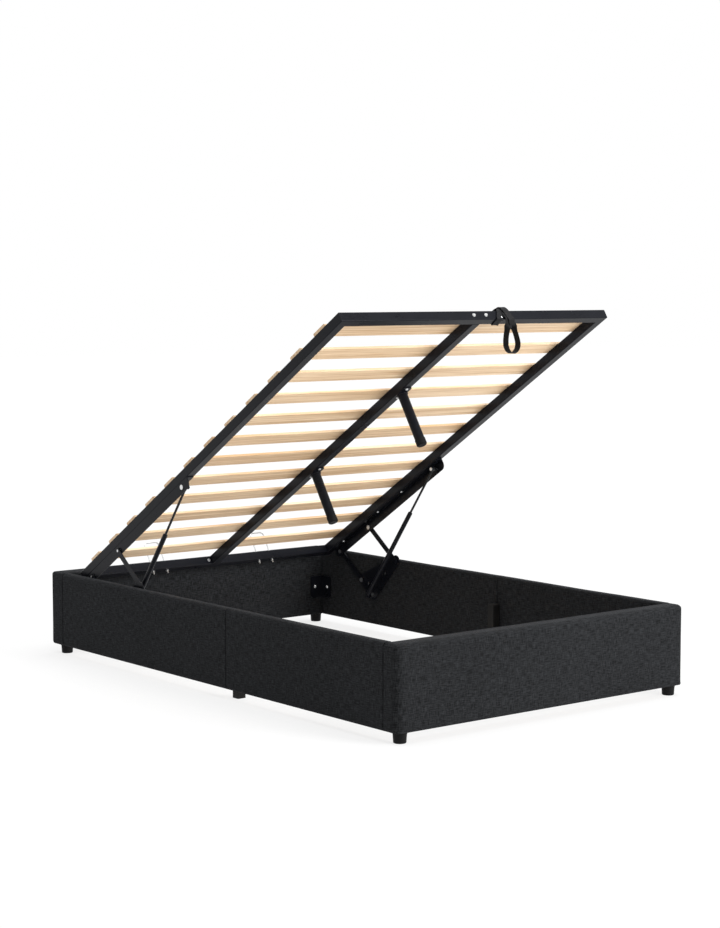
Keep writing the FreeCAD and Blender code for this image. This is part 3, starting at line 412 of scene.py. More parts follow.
@dataclass(frozen=True)
class Finish:
    """A finish: its two colours, its roughness range and its relief."""

    name: str
    dark: Colour
    light: Colour
    rough_low: float
    rough_high: float
    bump: float
    bump_depth: float
    metallic: float = 0.0
    specular: float = 0.5
    sheen: float = 0.0
    sheen_tint: Colour = (1.0, 1.0, 1.0)
    sheen_rough: float = 0.45

    def start(self) -> tuple[bpy.types.Material, Wiring, bpy.types.Node]:
        """Start the finish's material.

        Returns:
            The material with its plain values set, its wiring and its shader.
        """
        material = bpy.data.materials.new(self.name)
        material.use_nodes = True
        shader = material.node_tree.nodes["Principled BSDF"]
        shader.inputs["Metallic"].default_value = self.metallic
        shader.inputs["Sheen Weight"].default_value = self.sheen
        shader.inputs["Sheen Tint"].default_value = (*self.sheen_tint, 1.0)
        shader.inputs["Sheen Roughness"].default_value = self.sheen_rough
        shader.inputs["Specular IOR Level"].default_value = self.specular
        return material, Wiring(material.node_tree), shader

    def place(
            self, wire: Wiring, group: bpy.types.NodeTree, vector: object,
            **values: float) -> bpy.types.NodeOutputs:
        """Place a shared group and set its inputs.

        Args:
            wire: the material's wiring.
            group: the shared group.
            vector: the coordinates that it reads.
            values: plain input values by name.

        Returns:
            The group's outputs.
        """
        node = wire.add("ShaderNodeGroup", node_tree=group)
        wire.feed(node.inputs["Vector"], vector)
        for label, value in values.items():
            node.inputs[label].default_value = value
        return node.outputs

    def finish(
            self, wire: Wiring, shader: bpy.types.Node, mask: object, rough: object,
            height: object) -> None:
        """Wire the finish into its shader.

        Args:
            wire: the material's wiring.
            shader: the material's shader.
            mask: where the light colour shows.
            rough: where the surface is rougher.
            height: the surface's relief.
        """
        wire.feed(shader.inputs["Base Color"], wire.tint(mask, self.dark, self.light))
        dullness = wire.fit(rough, 0.0, 1.0, self.rough_low, self.rough_high)
        wire.feed(shader.inputs["Roughness"], dullness)
        bump = wire.add("ShaderNodeBump")
        bump.inputs["Strength"].default_value = self.bump
        bump.inputs["Distance"].default_value = self.bump_depth
        wire.feed(bump.inputs["Height"], height)
        wire.feed(shader.inputs["Normal"], bump.outputs["Normal"])


@dataclass(frozen=True)
class WovenFinish(Finish):
    """Cloth: threads that follow the piece's own map."""

    threads: float = 900.0
    slub: float = 0.22
    patch: float = 3.5
    patch_tone: float = 0.05

    def make(self, effects: Effects) -> bpy.types.Material:
        """Make the cloth's material.

        Args:
            effects: the shared shader groups.

        Returns:
            The material.
        """
        material, wire, shader = self.start()
        cloth = wire.add("ShaderNodeUVMap", uv_map="UVMap").outputs["UV"]
        threads = self.place(wire, effects.weave, cloth, Threads=self.threads, Slub=self.slub)
        place = wire.add("ShaderNodeTexCoord").outputs["Object"]
        cloud = wire.cloud(place, self.patch, detail=3.0)
        patch = wire.fit(cloud, CLOUD_LOW, CLOUD_HIGH, -self.patch_tone, self.patch_tone)
        mask = wire.math("ADD", threads["Tone"], patch)
        self.finish(wire, shader, mask, threads["Tone"], threads["Height"])
        return material


@dataclass(frozen=True)
class WoodFinish(Finish):
    """Wood: grain along X, turned with the lid, with a tone for each board."""

    rings: float = 520.0
    tilt: float = 0.0
    board_pitch: float = 0.0
    board_tone: float = 0.16
    board_shift: float = 5.0

    def make(self, effects: Effects) -> bpy.types.Material:
        """Make the wood's material.

        Args:
            effects: the shared shader groups.

        Returns:
            The material.
        """
        material, wire, shader = self.start()
        level = wire.add("ShaderNodeMapping")
        wire.feed(level.inputs["Vector"], wire.add("ShaderNodeTexCoord").outputs["Object"])
        level.inputs["Rotation"].default_value = (self.tilt, 0.0, 0.0)
        vector = level.outputs["Vector"]
        tone = 0.0
        if self.board_pitch:
            vector, tone = self.part_boards(wire, vector)
        grain = self.place(wire, effects.grain, vector, Rings=self.rings)
        mask = wire.math("ADD", grain["Tone"], tone)
        self.finish(wire, shader, mask, grain["Tone"], grain["Height"])
        return material

    def part_boards(self, wire: Wiring, vector: Socket) -> tuple[Socket, Socket]:
        """Give each board of a row its own stretch of grain and its own tone.

        Args:
            wire: the material's wiring.
            vector: the coordinates, with the row along Y.

        Returns:
            The coordinates moved along each board, and what to add to its tone.
        """
        number = wire.math("FLOOR", wire.math("DIVIDE", wire.parts(vector)["Y"], self.board_pitch))
        dice = wire.add("ShaderNodeTexWhiteNoise", noise_dimensions="1D")
        wire.feed(dice.inputs["W"], number)
        tone = wire.fit(dice.outputs["Value"], 0.0, 1.0, -self.board_tone, self.board_tone)
        shift = wire.add("ShaderNodeCombineXYZ")
        wire.feed(shift.inputs["X"], wire.math("MULTIPLY", dice.outputs["Value"], self.board_shift))
        moved = wire.add("ShaderNodeVectorMath", operation="ADD")
        wire.feed(moved.inputs[0], vector)
        wire.feed(moved.inputs[1], shift.outputs[0])
        return moved.outputs[0], tone


@dataclass(frozen=True)
class CoatedFinish(Finish):
    """Paint, plating or moulded plastic: handling marks over a fine grain."""

    grain: float = 900.0

    def make(self, effects: Effects) -> bpy.types.Material:
        """Make the coated surface's material.

        Args:
            effects: the shared shader groups.

        Returns:
            The material.
        """
        material, wire, shader = self.start()
        place = wire.add("ShaderNodeTexCoord").outputs["Object"]
        marks = self.place(wire, effects.scuff, place, Grain=self.grain)
        self.finish(wire, shader, marks["Mark"], marks["Mark"], marks["Height"])
        return material


FINISHES: dict[Slot, WovenFinish | WoodFinish | CoatedFinish] = {
    Slot.UPHOLSTERY: WovenFinish(
        "charcoal_weave", dark=(0.0034, 0.0036, 0.0040), light=(0.031, 0.0325, 0.0352),
        rough_low=0.85, rough_high=0.97, bump=0.5, bump_depth=0.6 * MM, specular=0.1,
        sheen=0.025, sheen_tint=(0.8, 0.85, 0.95), slub=0.46),
    Slot.WEBBING: WovenFinish(
        "black_webbing", dark=(0.0026, 0.0026, 0.003), light=(0.016, 0.016, 0.0172),
        rough_low=0.6, rough_high=0.8, bump=0.6, bump_depth=0.5 * MM, specular=0.15,
        sheen=0.02, threads=700.0, slub=0.08),
    Slot.SLAT: WoodFinish(
        "poplar_slat", dark=(0.62, 0.39, 0.20), light=(0.94, 0.73, 0.50),
        rough_low=0.42, rough_high=0.6, bump=0.2, bump_depth=0.3 * MM,
        tilt=LID_TILT, board_pitch=150.4 * MM),
    # Post wood, made near-black, far darker than the panel boards
    Slot.POST: WoodFinish(
        "stained_post", dark=(0.004, 0.0038, 0.0036), light=(0.011, 0.0102, 0.0095),
        rough_low=0.55, rough_high=0.75, bump=0.3, bump_depth=0.4 * MM, specular=0.2),
    Slot.BOARD: WoodFinish(
        "panel_board", dark=(0.26, 0.18, 0.11), light=(0.45, 0.33, 0.21),
        rough_low=0.7, rough_high=0.85, bump=0.3, bump_depth=0.4 * MM),
    Slot.STEEL: CoatedFinish(
        "black_paint", dark=(0.0050, 0.0056, 0.0080), light=(0.0073, 0.0081, 0.0113),
        rough_low=0.24, rough_high=0.36, bump=0.1, bump_depth=0.2 * MM, specular=0.1),
    Slot.ZINC: CoatedFinish(
        "bright_zinc", dark=(0.56, 0.57, 0.58), light=(0.78, 0.78, 0.77),
        rough_low=0.22, rough_high=0.4, bump=0.1, bump_depth=0.2 * MM, metallic=1.0),
    Slot.ROD: CoatedFinish(
        "dark_rod", dark=(0.008, 0.0085, 0.0095), light=(0.018, 0.019, 0.021),
        rough_low=0.2, rough_high=0.32, bump=0.05, bump_depth=0.1 * MM, metallic=0.3, specular=0.25),
    Slot.PLASTIC: CoatedFinish(
        "grained_plastic", dark=(0.0035, 0.0035, 0.0038), light=(0.0075, 0.0075, 0.008),
        rough_low=0.5, rough_high=0.66, bump=0.25, bump_depth=0.3 * MM, specular=0.13, grain=1600.0),
}


# Modelling helpers


def deselect() -> None:
    """Leave edit mode and deselect every object."""
    if bpy.context.mode != "OBJECT":
        bpy.ops.object.mode_set(mode="OBJECT")
    bpy.ops.object.select_all(action="DESELECT")


def activate(piece: bpy.types.Object) -> None:
    """Make one object the only selected and active one.

    Args:
        piece: the object.
    """
    deselect()
    piece.select_set(True)
    bpy.context.view_layer.objects.active = piece


def take_new(name: str) -> bpy.types.Object:
    """Name the object that was just added.

    Args:
        name: the piece's name.

    Returns:
        The object.
    """
    piece = bpy.context.active_object
    piece.name = name
    piece.data.name = name
    return piece


def new_block(name: str, low: Vector, high: Vector) -> bpy.types.Object:
    """Add a cube that fills a box, with its place in its mesh.

    Args:
        name: the piece's name.
        low: the box's lowest corner.
        high: the box's highest corner.

    Returns:
        The new object.
    """
    deselect()
    bpy.ops.mesh.primitive_cube_add(size=1.0, location=(low + high) / 2, scale=high - low)
    bpy.ops.object.transform_apply(location=True, rotation=True, scale=True)
    return take_new(name)


def apply_modifier(piece: bpy.types.Object, kind: str, **settings: object) -> None:
    """Add a modifier, set it and apply it.

    Args:
        piece: the object.
        kind: the modifier's type.
        settings: attributes to set on it.
    """
    activate(piece)
    modifier = piece.modifiers.new(kind.lower(), kind)
    for name, value in settings.items():
        setattr(modifier, name, value)
    bpy.ops.object.modifier_apply(modifier=modifier.name)


def smooth(piece: bpy.types.Object, degrees: float) -> None:
    """Shade a piece smooth, apart from edges sharper than an angle."""
    activate(piece)
    bpy.ops.object.shade_smooth_by_angle(angle=math.radians(degrees))


def cloth_map(piece: bpy.types.Object) -> bpy.types.MeshUVLoopLayer:
    """Return the map that the piece's threads follow."""
    return piece.data.uv_layers.get("UVMap") or piece.data.uv_layers.new(name="UVMap")


def lay_flat(piece: bpy.types.Object) -> None:
    """Map a piece in metres, each face laid flat along its nearest axis.

    Args:
        piece: the object.
    """
    mesh = piece.data
    layer = cloth_map(piece)
    for face in mesh.polygons:
        parts = [abs(part) for part in face.normal]
        away = parts.index(max(parts))
        across, up = [axis.value for axis in Axis if axis.value != away]
        for corner in face.loop_indices:
            point = mesh.vertices[mesh.loops[corner].vertex_index].co
            layer.data[corner].uv = (point[across], point[up])


def dress(piece: bpy.types.Object, material: bpy.types.Material) -> None:
    """Give a new piece its material.

    Args:
        piece: the object.
        material: its finish.
    """
    piece.data.materials.clear()
    piece.data.materials.append(material)


def ramp(distance: float, start: float, length: float) -> float:
    """Return a share that rises from 0 at a start to 1 over a length."""
    return min(1.0, max(0.0, (distance - start) / length))


# Upholstered box


class Side(Enum):
    """Sides of a panel, each an axis and a direction along it."""

    LEFT = (Axis.X, -1)
    RIGHT = (Axis.X, 1)
    FOOT = (Axis.Y, -1)
    HEAD = (Axis.Y, 1)
    HEM = (Axis.Z, -1)
    TOP = (Axis.Z, 1)

    @property
    def axis(self) -> int:
        """Return the axis's place in a vector."""
        return self.value[0].value

    @property
    def sign(self) -> int:
        """Return the direction along the axis."""
        return self.value[1]


class Role(Enum):
    """What a side of a panel is for."""

    SHOWN = "seen from outside"
    INNER = "faces the storage space"
    BUTT = "meets the next panel"
    TOP = "upper edge"
    HEM = "lower edge"


@dataclass
class PaddedPanel:
    """One padded panel: a woven cover drawn over foam and a board."""

    name: str
    node: str
    shown: tuple[Side, ...]
    butt: tuple[Side, ...] = ()
    top_round: float = 20 * MM
    corner_round: float = 32 * MM
    seam_round: float = 3.2 * MM
    inner_top_round: float = 10 * MM
    inner_seam_round: float = 1.5 * MM
    hem_round: float = 11 * MM
    inner_hem_round: float = 6 * MM
    butt_hem_round: float = 2 * MM
    round_steps: int = 5
    puff: float = 6.0 * MM
    lift: float = 4.0 * MM
    slack: float = 2.0 * MM
    swell: float = 2.2 * MM
    hem_width: float = 1.0 * MM
    hem_recess: float = 14 * MM
    hem_held: float = 14 * MM
    hem_ease: float = 30 * MM
    butt_held: float = 4 * MM
    butt_ease: float = 16 * MM
    cell: float = 17 * MM
    ripple: float = 0.5 * MM
    broad_ripple: float = 6.0
    fine_ripple: float = 21.0
    fine_share: float = 0.5
    ripple_sink: float = 0.4
    crease: float = 60.0
    low: Vector = field(default_factory=Vector)
    high: Vector = field(default_factory=Vector)

    def build(self) -> bpy.types.Object:
        """Model the cover before it is filled.

        Returns:
            The cover's mesh, a little slack.
        """
        self.low, self.high = [Vector(corner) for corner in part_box(self.node)]
        for side in (*self.shown, Side.TOP):
            self.move(side, self.lift if side == Side.TOP else self.puff)
        taut = self.low.copy(), self.high.copy()
        for side in Side:
            if self.role(side) in (Role.SHOWN, Role.INNER, Role.TOP):
                self.move(side, -self.slack)
        piece = new_block(self.name, self.low, self.high)
        self.round_edges(piece)
        self.recess_hem(piece)
        self.cut_cells(piece)
        self.low, self.high = taut
        self.hold(piece)
        return piece

    def move(self, side: Side, distance: float) -> None:
        """Move one side of the panel's box outwards."""
        corner = self.high if side.sign > 0 else self.low
        corner[side.axis] += side.sign * distance

    def level(self, side: Side) -> float:
        """Return where one side of the panel's box is, along its axis."""
        return (self.high if side.sign > 0 else self.low)[side.axis]

    def role(self, side: Side) -> Role:
        """Tell what a side is for.

        Args:
            side: the side.

        Returns:
            Its role on this panel.
        """
        if side.axis == Axis.Z.value:
            return Role.TOP if side.sign > 0 else Role.HEM
        if side in self.shown:
            return Role.SHOWN
        return Role.BUTT if side in self.butt else Role.INNER

    def round_of(self, roles: set[Role]) -> float:
        """Choose the radius of an edge.

        Args:
            roles: the roles of the two sides that meet there.

        Returns:
            The radius.
        """
        if roles == {Role.SHOWN}:
            return self.corner_round
        shown, butt = Role.SHOWN in roles, Role.BUTT in roles
        if Role.TOP in roles:
            return self.seam_round if butt else self.top_round if shown else self.inner_top_round
        if Role.HEM in roles:
            return self.butt_hem_round if butt else self.hem_round if shown else self.inner_hem_round
        return self.seam_round if shown else self.inner_seam_round

    def sides_of(self, point: Vector) -> set[Side]:
        """Return the sides of the box that a point lies on."""
        return {side for side in Side if abs(point[side.axis] - self.level(side)) < NEAR}

    def round_edges(self, piece: bpy.types.Object) -> None:
        """Round every edge by the roles of the sides that meet there.

        Args:
            piece: the panel's block.
        """
        weights = piece.data.attributes.new("bevel_weight_edge", "FLOAT", "EDGE")
        for edge in piece.data.edges:
            ends = [self.sides_of(piece.data.vertices[index].co) for index in edge.vertices]
            roles = {self.role(side) for side in ends[0] & ends[1]}
            weights.data[edge.index].value = self.round_of(roles) / self.corner_round
        apply_modifier(
            piece, "BEVEL", width=self.corner_round, limit_method="WEIGHT", segments=self.round_steps,
            profile=0.5, use_clamp_overlap=False)

    def recess_hem(self, piece: bpy.types.Object) -> None:
        """Turn the cloth under the lower edge and leave the board's edge open.

        Args:
            piece: the rounded block.
        """
        activate(piece)
        bpy.ops.object.mode_set(mode="EDIT")
        bpy.ops.mesh.select_mode(type="FACE")
        bpy.ops.mesh.select_all(action="DESELECT")
        mesh = bmesh.from_edit_mesh(piece.data)
        for face in mesh.faces:
            face.select_set(all(abs(vertex.co.z - self.low.z) < NEAR for vertex in face.verts))
        bmesh.update_edit_mesh(piece.data)
        bpy.ops.mesh.inset(thickness=self.hem_width, depth=0.0)
        bpy.ops.mesh.extrude_region_move(TRANSFORM_OT_translate={"value": (0.0, 0.0, self.hem_recess)})
        bpy.ops.object.mode_set(mode="OBJECT")

    def cut_cells(self, piece: bpy.types.Object) -> None:
        """Divide the cover so that it can swell.

        Args:
            piece: the cover.
        """
        activate(piece)
        bpy.ops.object.mode_set(mode="EDIT")
        for axis in Axis:
            start = self.low[axis.value]
            span = self.high[axis.value] - start
            count = max(2, round(span / self.cell))
            for step in range(1, count):
                middle = axis.unit() * (start + span * step / count)
                bpy.ops.mesh.select_all(action="SELECT")
                bpy.ops.mesh.bisect(plane_co=middle, plane_no=axis.unit())
        bpy.ops.object.mode_set(mode="OBJECT")

    def hold(self, piece: bpy.types.Object) -> None:
        """Name the cloth that is stapled down.

        Args:
            piece: the cover.
        """
        held = piece.vertex_groups.new(name="held")
        for vertex in piece.data.vertices:
            held.add([vertex.index], 1.0 - self.free_share(vertex.co), "REPLACE")

    def free_share(self, point: Vector) -> float:
        """Tell how free the cloth is.

        Args:
            point: a place on the cover.

        Returns:
            0 at the hem and at a butt joint, 1 in the open.
        """
        share = ramp(point.z - self.low.z, self.hem_held, self.hem_ease)
        for side in self.butt:
            share *= ramp(abs(point[side.axis] - self.level(side)), self.butt_held, self.butt_ease)
        return share

    def wave(self, point: Vector) -> float:
        """Return the cloth's ripple at a place on the cover, mostly a little inwards."""
        fine = noise.noise(point * self.fine_ripple + Vector((3.0, 1.0, 2.0)))
        return noise.noise(point * self.broad_ripple) + self.fine_share * fine - self.ripple_sink

    def settle(self, piece: bpy.types.Object, before: list[Vector]) -> None:
        """Limit how far the filled cloth moved, ripple it a little and smooth it.

        Args:
            piece: the cover after its filling.
            before: where its points were.
        """
        points = piece.data.vertices
        furthest = max((vertex.co - start).length for vertex, start in zip(points, before))
        share = min(1.0, self.swell / furthest) if furthest else 0.0
        places = []
        for vertex, start in zip(points, before):
            move = (vertex.co - start) * share
            ripple = self.ripple * self.wave(start) * self.free_share(start)
            place = start + move + vertex.normal * ripple
            places.append([
                min(max(part, low), high) for part, low, high in zip(place, self.low, self.high)])
        for vertex, place in zip(points, places):
            vertex.co = place
        piece.data.update()
        apply_modifier(piece, "SUBSURF", levels=1, render_levels=1)
        smooth(piece, self.crease)
        lay_flat(piece)


# How the cover's cloth behaves while it is filled
CLOTH = {
    "quality": 5,
    "mass": 0.25,
    "tension_stiffness": 25.0,
    "compression_stiffness": 25.0,
    "shear_stiffness": 10.0,
    "bending_stiffness": 1.0,
    "use_pressure": True,
    "vertex_group_mass": "held",
}


@dataclass
class UpholsteredBox:
    """The six padded panels of the base."""

    cloth: bpy.types.Material
    frames: int = 14
    pressure: float = 0.5
    head_round: float = 12 * MM
    side_top_round: float = 16 * MM

    def panels(self) -> list[PaddedPanel]:
        """List the panels.

        Returns:
            The foot, the head, and two halves on each side.
        """
        ends = (Side.LEFT, Side.RIGHT)
        panels = [
            PaddedPanel("foot_panel_padding", "foot_panel_cover", (*ends, Side.FOOT)),
            PaddedPanel(
                "head_panel_padding", "head_panel_cover", (*ends, Side.HEAD),
                top_round=self.head_round, corner_round=self.head_round)]
        for side in ends:
            for part in ("front", "rear"):
                name = f"{side.name.lower()}_{part}_panel"
                panels.append(PaddedPanel(
                    name + "_padding", name + "_cover", (side,), butt=(Side.FOOT, Side.HEAD),
                    top_round=self.side_top_round))
        return panels

    def build(self) -> list[bpy.types.Object]:
        """Model every panel, fill it and dress it.

        Returns:
            The panels' covers.
        """
        panels = self.panels()
        pieces = [panel.build() for panel in panels]
        before = [[vertex.co.copy() for vertex in piece.data.vertices] for piece in pieces]
        self.fill(pieces)
        for panel, piece, start in zip(panels, pieces, before):
            panel.settle(piece, start)
            dress(piece, self.cloth)
            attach(piece, Body.BASE.value)
            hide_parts(panel.node)
        return pieces

    def fill(self, pieces: list[bpy.types.Object]) -> None:
        """Press the cloth outwards from the foam inside, and apply the result.

        Args:
            pieces: the slack covers.
        """
        for piece in pieces:
            cloth = piece.modifiers.new("Cloth", "CLOTH")
            for name, value in CLOTH.items():
                setattr(cloth.settings, name, value)
            cloth.settings.uniform_pressure_force = self.pressure
            cloth.settings.effector_weights.gravity = 0.0
            cloth.collision_settings.use_collision = False
            cloth.point_cache.frame_start = 1
            cloth.point_cache.frame_end = self.frames
        scene = bpy.context.scene
        for step in range(1, self.frames + 1):
            scene.frame_set(step)
        for piece in pieces:
            activate(piece)
            bpy.ops.object.modifier_apply(modifier="Cloth")
        scene.frame_set(1)


# Pull strap


@dataclass
class PullStrap:
    """One length of webbing, round the foot rail, over its front and down to a hand loop.

    The wrap, the tail and the rivet are in millimetres on the lid: across it, along it and up from
    it. The drop is in millimetres from the strap's hinge: across the lid, along the bed and up.
    """

    width: float = 26 * MM
    thick: float = 1.8 * MM
    edge_round: float = 0.5 * MM
    edge_angle: float = 60.0
    crease: float = 45.0
    steps: int = 6
    rows: int = 6
    twist: float = 0.85
    stand_off: float = 2.3 * MM
    wrap: tuple[Point, ...] = (
        (92, 36.2, 8), (93, 36.4, 22), (94, 35.4, 35), (96, 28, 42.5), (97.5, 15, 45), (97, 3, 42.5),
        (95, -2.4, 33), (88, -2.8, 17), (81, -2.8, 3), (78.5, -1.6, -1.8), (78, 4, -2.8),
        (80, 17, -2.8), (84, 31, -2.8), (87, 38, 1), (92, 38.8, 12), (98, 38.8, 26), (103, 37, 38),
        (107, 28, 46), (109, 14, 49.5), (110, 1, 47.5), (112, -5.2, 40), (115.5, -7.6, 30),
        (120, -7.6, 17), (125, -7.0, 4), (128.5, -6.0, -6))
    drop: tuple[Point, ...] = (
        (133, -3.5, -15), (142.5, -2.5, -33), (152.5, -2, -54), (160, -2, -76), (160.5, -2, -93),
        (152, -2, -108), (135, -2, -116), (118, -2, -109), (108, -2, -94), (105.5, -2, -76),
        (107.5, -2, -54), (113, -1.5, -33), (118, -1, -15))
    tail: tuple[Point, ...] = ((117, -5.0, 1), (113, -5.1, 13), (109, -5.1, 25))
    rivet: Point = (91, -3.6, 6)
    rivet_dia: float = 6.5 * MM
    rivet_dome: float = 0.45
    along: Vector = field(
        default_factory=lambda: Vector((0.0, math.cos(LID_TILT), -math.sin(LID_TILT))))
    up: Vector = field(
        default_factory=lambda: Vector((0.0, math.sin(LID_TILT), math.cos(LID_TILT))))

    def build(
            self, webbing: bpy.types.Material, zinc: bpy.types.Material,
            hinge: Vector) -> list[bpy.types.Object]:
        """Model the strap and the rivet that holds its end.

        Args:
            webbing: the strap's material.
            zinc: the rivet's material.
            hinge: the place that the hand loop swings about.

        Returns:
            The strap and the rivet.
        """
        flat = Axis.X.unit()
        points = [self.on_lid(hinge, spot) for spot in self.wrap]
        hints = [flat for _ in self.wrap]
        for number, (across, far, high) in enumerate(self.drop):
            points.append(Vector((across * MM, hinge.y + far * MM, hinge.z + high * MM)))
            from_end = len(self.drop) - 1 - number
            turned = min(1.0, number * self.twist, from_end * self.twist)
            hints.append(Vector((1.0 - turned, -turned, 0.0)))
        points += [self.on_lid(hinge, spot) for spot in self.tail]
        hints += [flat for _ in self.tail]
        strap = self.ribbon("pull_strap", self.smooth_line(points), self.smooth_line(hints))
        dress(strap, webbing)
        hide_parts("strap_wrap", "strap_loop")
        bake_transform(strap)
        rivet = self.dome("strap_rivet", self.on_lid(hinge, self.rivet))
        dress(rivet, zinc)
        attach(rivet, Body.LID.value)
        return [strap, rivet]

    def on_lid(self, hinge: Vector, spot: Point) -> Vector:
        """Find a spot of the tilted lid in the frame.

        Args:
            hinge: the place that the hand loop swings about.
            spot: millimetres across the lid, along it and up from it.

        Returns:
            The spot's place.
        """
        across, far, high = spot
        corner = hinge + (self.along + self.up) * self.stand_off
        return Vector((across * MM, corner.y, corner.z)) + self.along * far * MM + self.up * high * MM

    def dome(self, name: str, place: Vector) -> bpy.types.Object:
        """Model a flat dome on the front of the foot rail.

        Args:
            name: the piece's name.
            place: the middle of its flat side.

        Returns:
            The dome.
        """
        deselect()
        bpy.ops.mesh.primitive_uv_sphere_add(segments=20, ring_count=10, radius=self.rivet_dia / 2)
        piece = take_new(name)
        bpy.ops.object.mode_set(mode="EDIT")
        bpy.ops.mesh.select_all(action="SELECT")
        bpy.ops.mesh.bisect(
            plane_co=(0.0, 0.0, 0.0), plane_no=Axis.Z.unit(), clear_inner=True, use_fill=True)
        bpy.ops.object.mode_set(mode="OBJECT")
        piece.scale = (1.0, 1.0, self.rivet_dome)
        piece.rotation_euler = (math.pi / 2 - LID_TILT, 0.0, 0.0)
        piece.location = place
        bpy.ops.object.transform_apply(location=True, rotation=True, scale=True)
        smooth(piece, self.crease)
        return piece

    def smooth_line(self, points: list[Vector]) -> list[Vector]:
        """Draw a smooth line through points.

        Args:
            points: the points.

        Returns:
            The line's own points, a few to each stretch.
        """
        padded = [points[0] * 2 - points[1], *points, points[-1] * 2 - points[-2]]
        line = []
        for first, start, end, last in zip(padded, padded[1:], padded[2:], padded[3:]):
            for step in range(self.steps):
                share = step / self.steps
                line.append(0.5 * (
                    2 * start + (end - first) * share
                    + (2 * first - 5 * start + 4 * end - last) * share ** 2
                    + (3 * start - first - 3 * end + last) * share ** 3))
        line.append(points[-1])
        return line

    def ribbon(self, name: str, line: list[Vector], hints: list[Vector]) -> bpy.types.Object:
        """Lay a strip of webbing along a line.

        Args:
            name: the piece's name.
            line: the strip's middle.
            hints: about where its width points at each place.

        Returns:
            The strip, mapped and smooth.
        """
        deselect()
        cells = len(line) - 1
        bpy.ops.mesh.primitive_grid_add(x_subdivisions=cells, y_subdivisions=self.rows, size=1.0)
        piece = take_new(name)
        mesh = piece.data
        wide = []
        run = [0.0]
        for place, point in enumerate(line):
            ahead = (line[min(place + 1, cells)] - line[max(place - 1, 0)]).normalized()
            wide.append((hints[place] - ahead * hints[place].dot(ahead)).normalized())
            if place:
                run.append(run[-1] + (point - line[place - 1]).length)
        layer = cloth_map(piece)
        for loop in mesh.loops:
            flat = mesh.vertices[loop.vertex_index].co
            layer.data[loop.index].uv = (run[round((flat.x + 0.5) * cells)], flat.y * self.width)
        for vertex in mesh.vertices:
            place = round((vertex.co.x + 0.5) * cells)
            vertex.co = line[place] + wide[place] * (vertex.co.y * self.width)
        mesh.update()
        apply_modifier(piece, "SOLIDIFY", thickness=self.thick, offset=0.0)
        apply_modifier(
            piece, "BEVEL", width=self.edge_round, segments=2, limit_method="ANGLE",
            angle_limit=math.radians(self.edge_angle))
        smooth(piece, self.crease)
        return piece


# Stage


@dataclass(frozen=True)
class Lamp:
    """A square soft lamp: its place, its side in metres and its power in watts."""

    name: str
    place: Point
    span: float
    power: float
    aim: Point = (0.0, 0.0, 0.4)

    def hang(self) -> None:
        """Hang the lamp so that it faces the bed."""
        deselect()
        place = Vector(self.place)
        bpy.ops.object.light_add(type="AREA", location=place)
        lamp = bpy.context.active_object
        lamp.name = self.name
        lamp.data.energy = self.power
        lamp.data.shape = "SQUARE"
        lamp.data.size = self.span
        lamp.rotation_euler = (Vector(self.aim) - place).to_track_quat("-Z", "Y").to_euler()


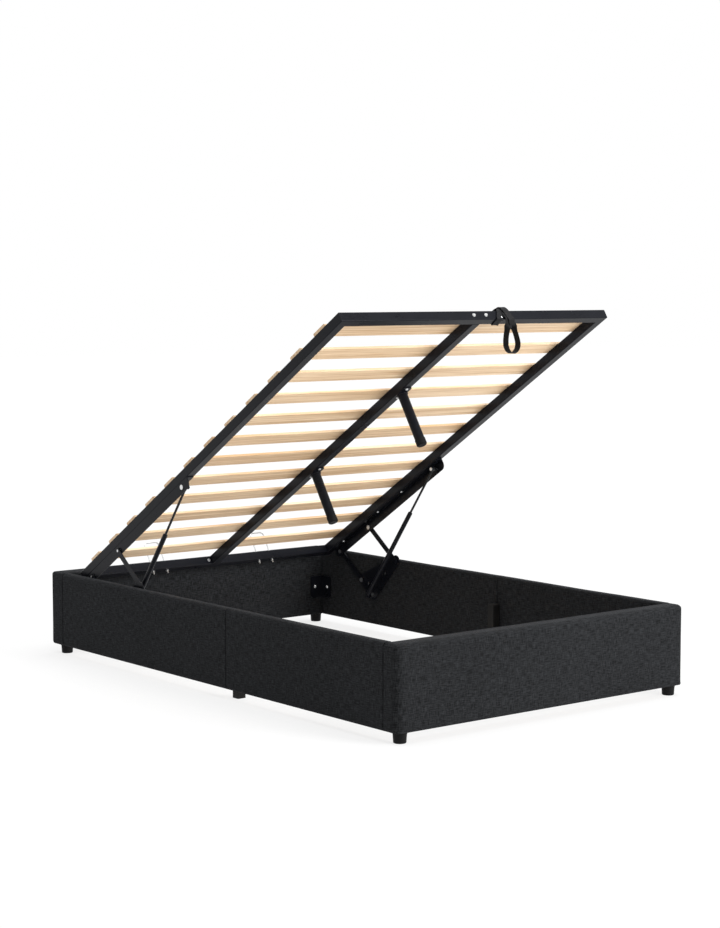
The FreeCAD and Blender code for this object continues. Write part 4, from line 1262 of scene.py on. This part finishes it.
@dataclass
class Studio:
    """Camera, soft lamps and a plain pale floor."""

    place: Point = (-4.6206, -5.8456, 1.4175)
    yaw: float = math.radians(38.5883)
    pitch: float = math.radians(-4.9542)
    lens: float = 79.27
    film: float = 36.0
    sight: float = 100.0
    floor_span: float = 60.0
    floor_grey: float = 0.86
    floor_rough: float = 0.9
    floor_glow: float = 1.03
    shade_near: float = 1.3
    shade_far: float = 2.6
    shade_white: float = 0.76
    room_light: float = 0.40
    lamps: tuple[Lamp, ...] = (
        Lamp("key_lamp", (2.4, -6.2, 3.0), span=3.0, power=420.0),
        Lamp("top_lamp", (0.3, 0.0, 5.4), span=4.5, power=260.0))

    def build(self) -> None:
        """Set up the stage."""
        self.add_camera()
        self.add_floor()
        self.add_world()
        for lamp in self.lamps:
            lamp.hang()
        bpy.context.scene.view_settings.view_transform = "Standard"

    def add_camera(self) -> None:
        """Place the camera at the photograph's angle."""
        deselect()
        bpy.ops.object.camera_add(location=self.place)
        camera = bpy.context.active_object
        camera.data.sensor_fit = "VERTICAL"
        camera.data.sensor_height = self.film
        camera.data.lens = self.lens
        camera.data.clip_end = self.sight
        forward = Vector((
            math.cos(self.pitch) * math.sin(self.yaw),
            math.cos(self.pitch) * math.cos(self.yaw),
            math.sin(self.pitch)))
        camera.rotation_euler = forward.to_track_quat("-Z", "Y").to_euler()
        bpy.context.scene.camera = camera

    def add_floor(self) -> None:
        """Lay the floor, which shows white with the object's shadow."""
        deselect()
        bpy.ops.mesh.primitive_plane_add(size=self.floor_span)
        floor = take_new("floor")
        material = bpy.data.materials.new("pale_floor")
        material.use_nodes = True
        wire = Wiring(material.node_tree)
        shader = material.node_tree.nodes["Principled BSDF"]
        shader.inputs["Base Color"].default_value = (*[self.floor_grey] * 3, 1.0)
        shader.inputs["Roughness"].default_value = self.floor_rough
        glow = wire.add("ShaderNodeEmission")
        glow.inputs["Strength"].default_value = self.floor_glow
        away = wire.add("ShaderNodeVectorMath", operation="LENGTH")
        wire.feed(away.inputs[0], wire.add("ShaderNodeTexCoord").outputs["Object"])
        fade = wire.fit(
            away.outputs["Value"], self.shade_near, self.shade_far, self.shade_white, 1.0)
        mix = wire.add("ShaderNodeMixShader")
        wire.feed(mix.inputs[0], wire.math("MULTIPLY", wire.seen(), fade))
        wire.feed(mix.inputs[1], shader.outputs[0])
        wire.feed(mix.inputs[2], glow.outputs[0])
        wire.feed(material.node_tree.nodes["Material Output"].inputs["Surface"], mix.outputs[0])
        floor.data.materials.append(material)

    def add_world(self) -> None:
        """Light the room evenly, white where the camera sees it."""
        world = bpy.data.worlds.new("studio")
        bpy.context.scene.world = world
        world.use_nodes = True
        wire = Wiring(world.node_tree)
        back = world.node_tree.nodes["Background"]
        back.inputs["Color"].default_value = (1.0, 1.0, 1.0, 1.0)
        wire.feed(back.inputs["Strength"], wire.fit(wire.seen(), 0.0, 1.0, self.room_light, 1.0))


def paint_nodes(frame: dict, materials: dict[Slot, bpy.types.Material]) -> None:
    """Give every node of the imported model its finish.

    Args:
        materials: a material for each slot.
    """
    slots = {row["node"]: Slot(row["material_slot"]) for row in frame["record"]["subparts"]}
    for name, node in frame["nodes"].items():
        for holder in node.material_slots:
            holder.material = materials[slots[name]]
        LOG.info("painted %s as %s", name, slots[name].value)


def main() -> None:
    """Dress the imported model, piece by piece, and set up the stage."""
    logging.basicConfig(level=logging.INFO)
    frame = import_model()
    effects = Effects()
    materials = {slot: finish.make(effects) for slot, finish in FINISHES.items()}
    paint_nodes(frame, materials)
    pieces = UpholsteredBox(materials[Slot.UPHOLSTERY]).build()
    joints = {joint["name"]: joint for joint in frame["record"]["behaviour"]["joints"]}
    hinge = Vector(joints["strap_swing"]["pos_m"])
    pieces += PullStrap().build(materials[Slot.WEBBING], materials[Slot.ZINC], hinge)
    for piece in pieces:
        LOG.info("built %s", piece.name)
    Studio().build()


if __name__ == "__main__":
    main()
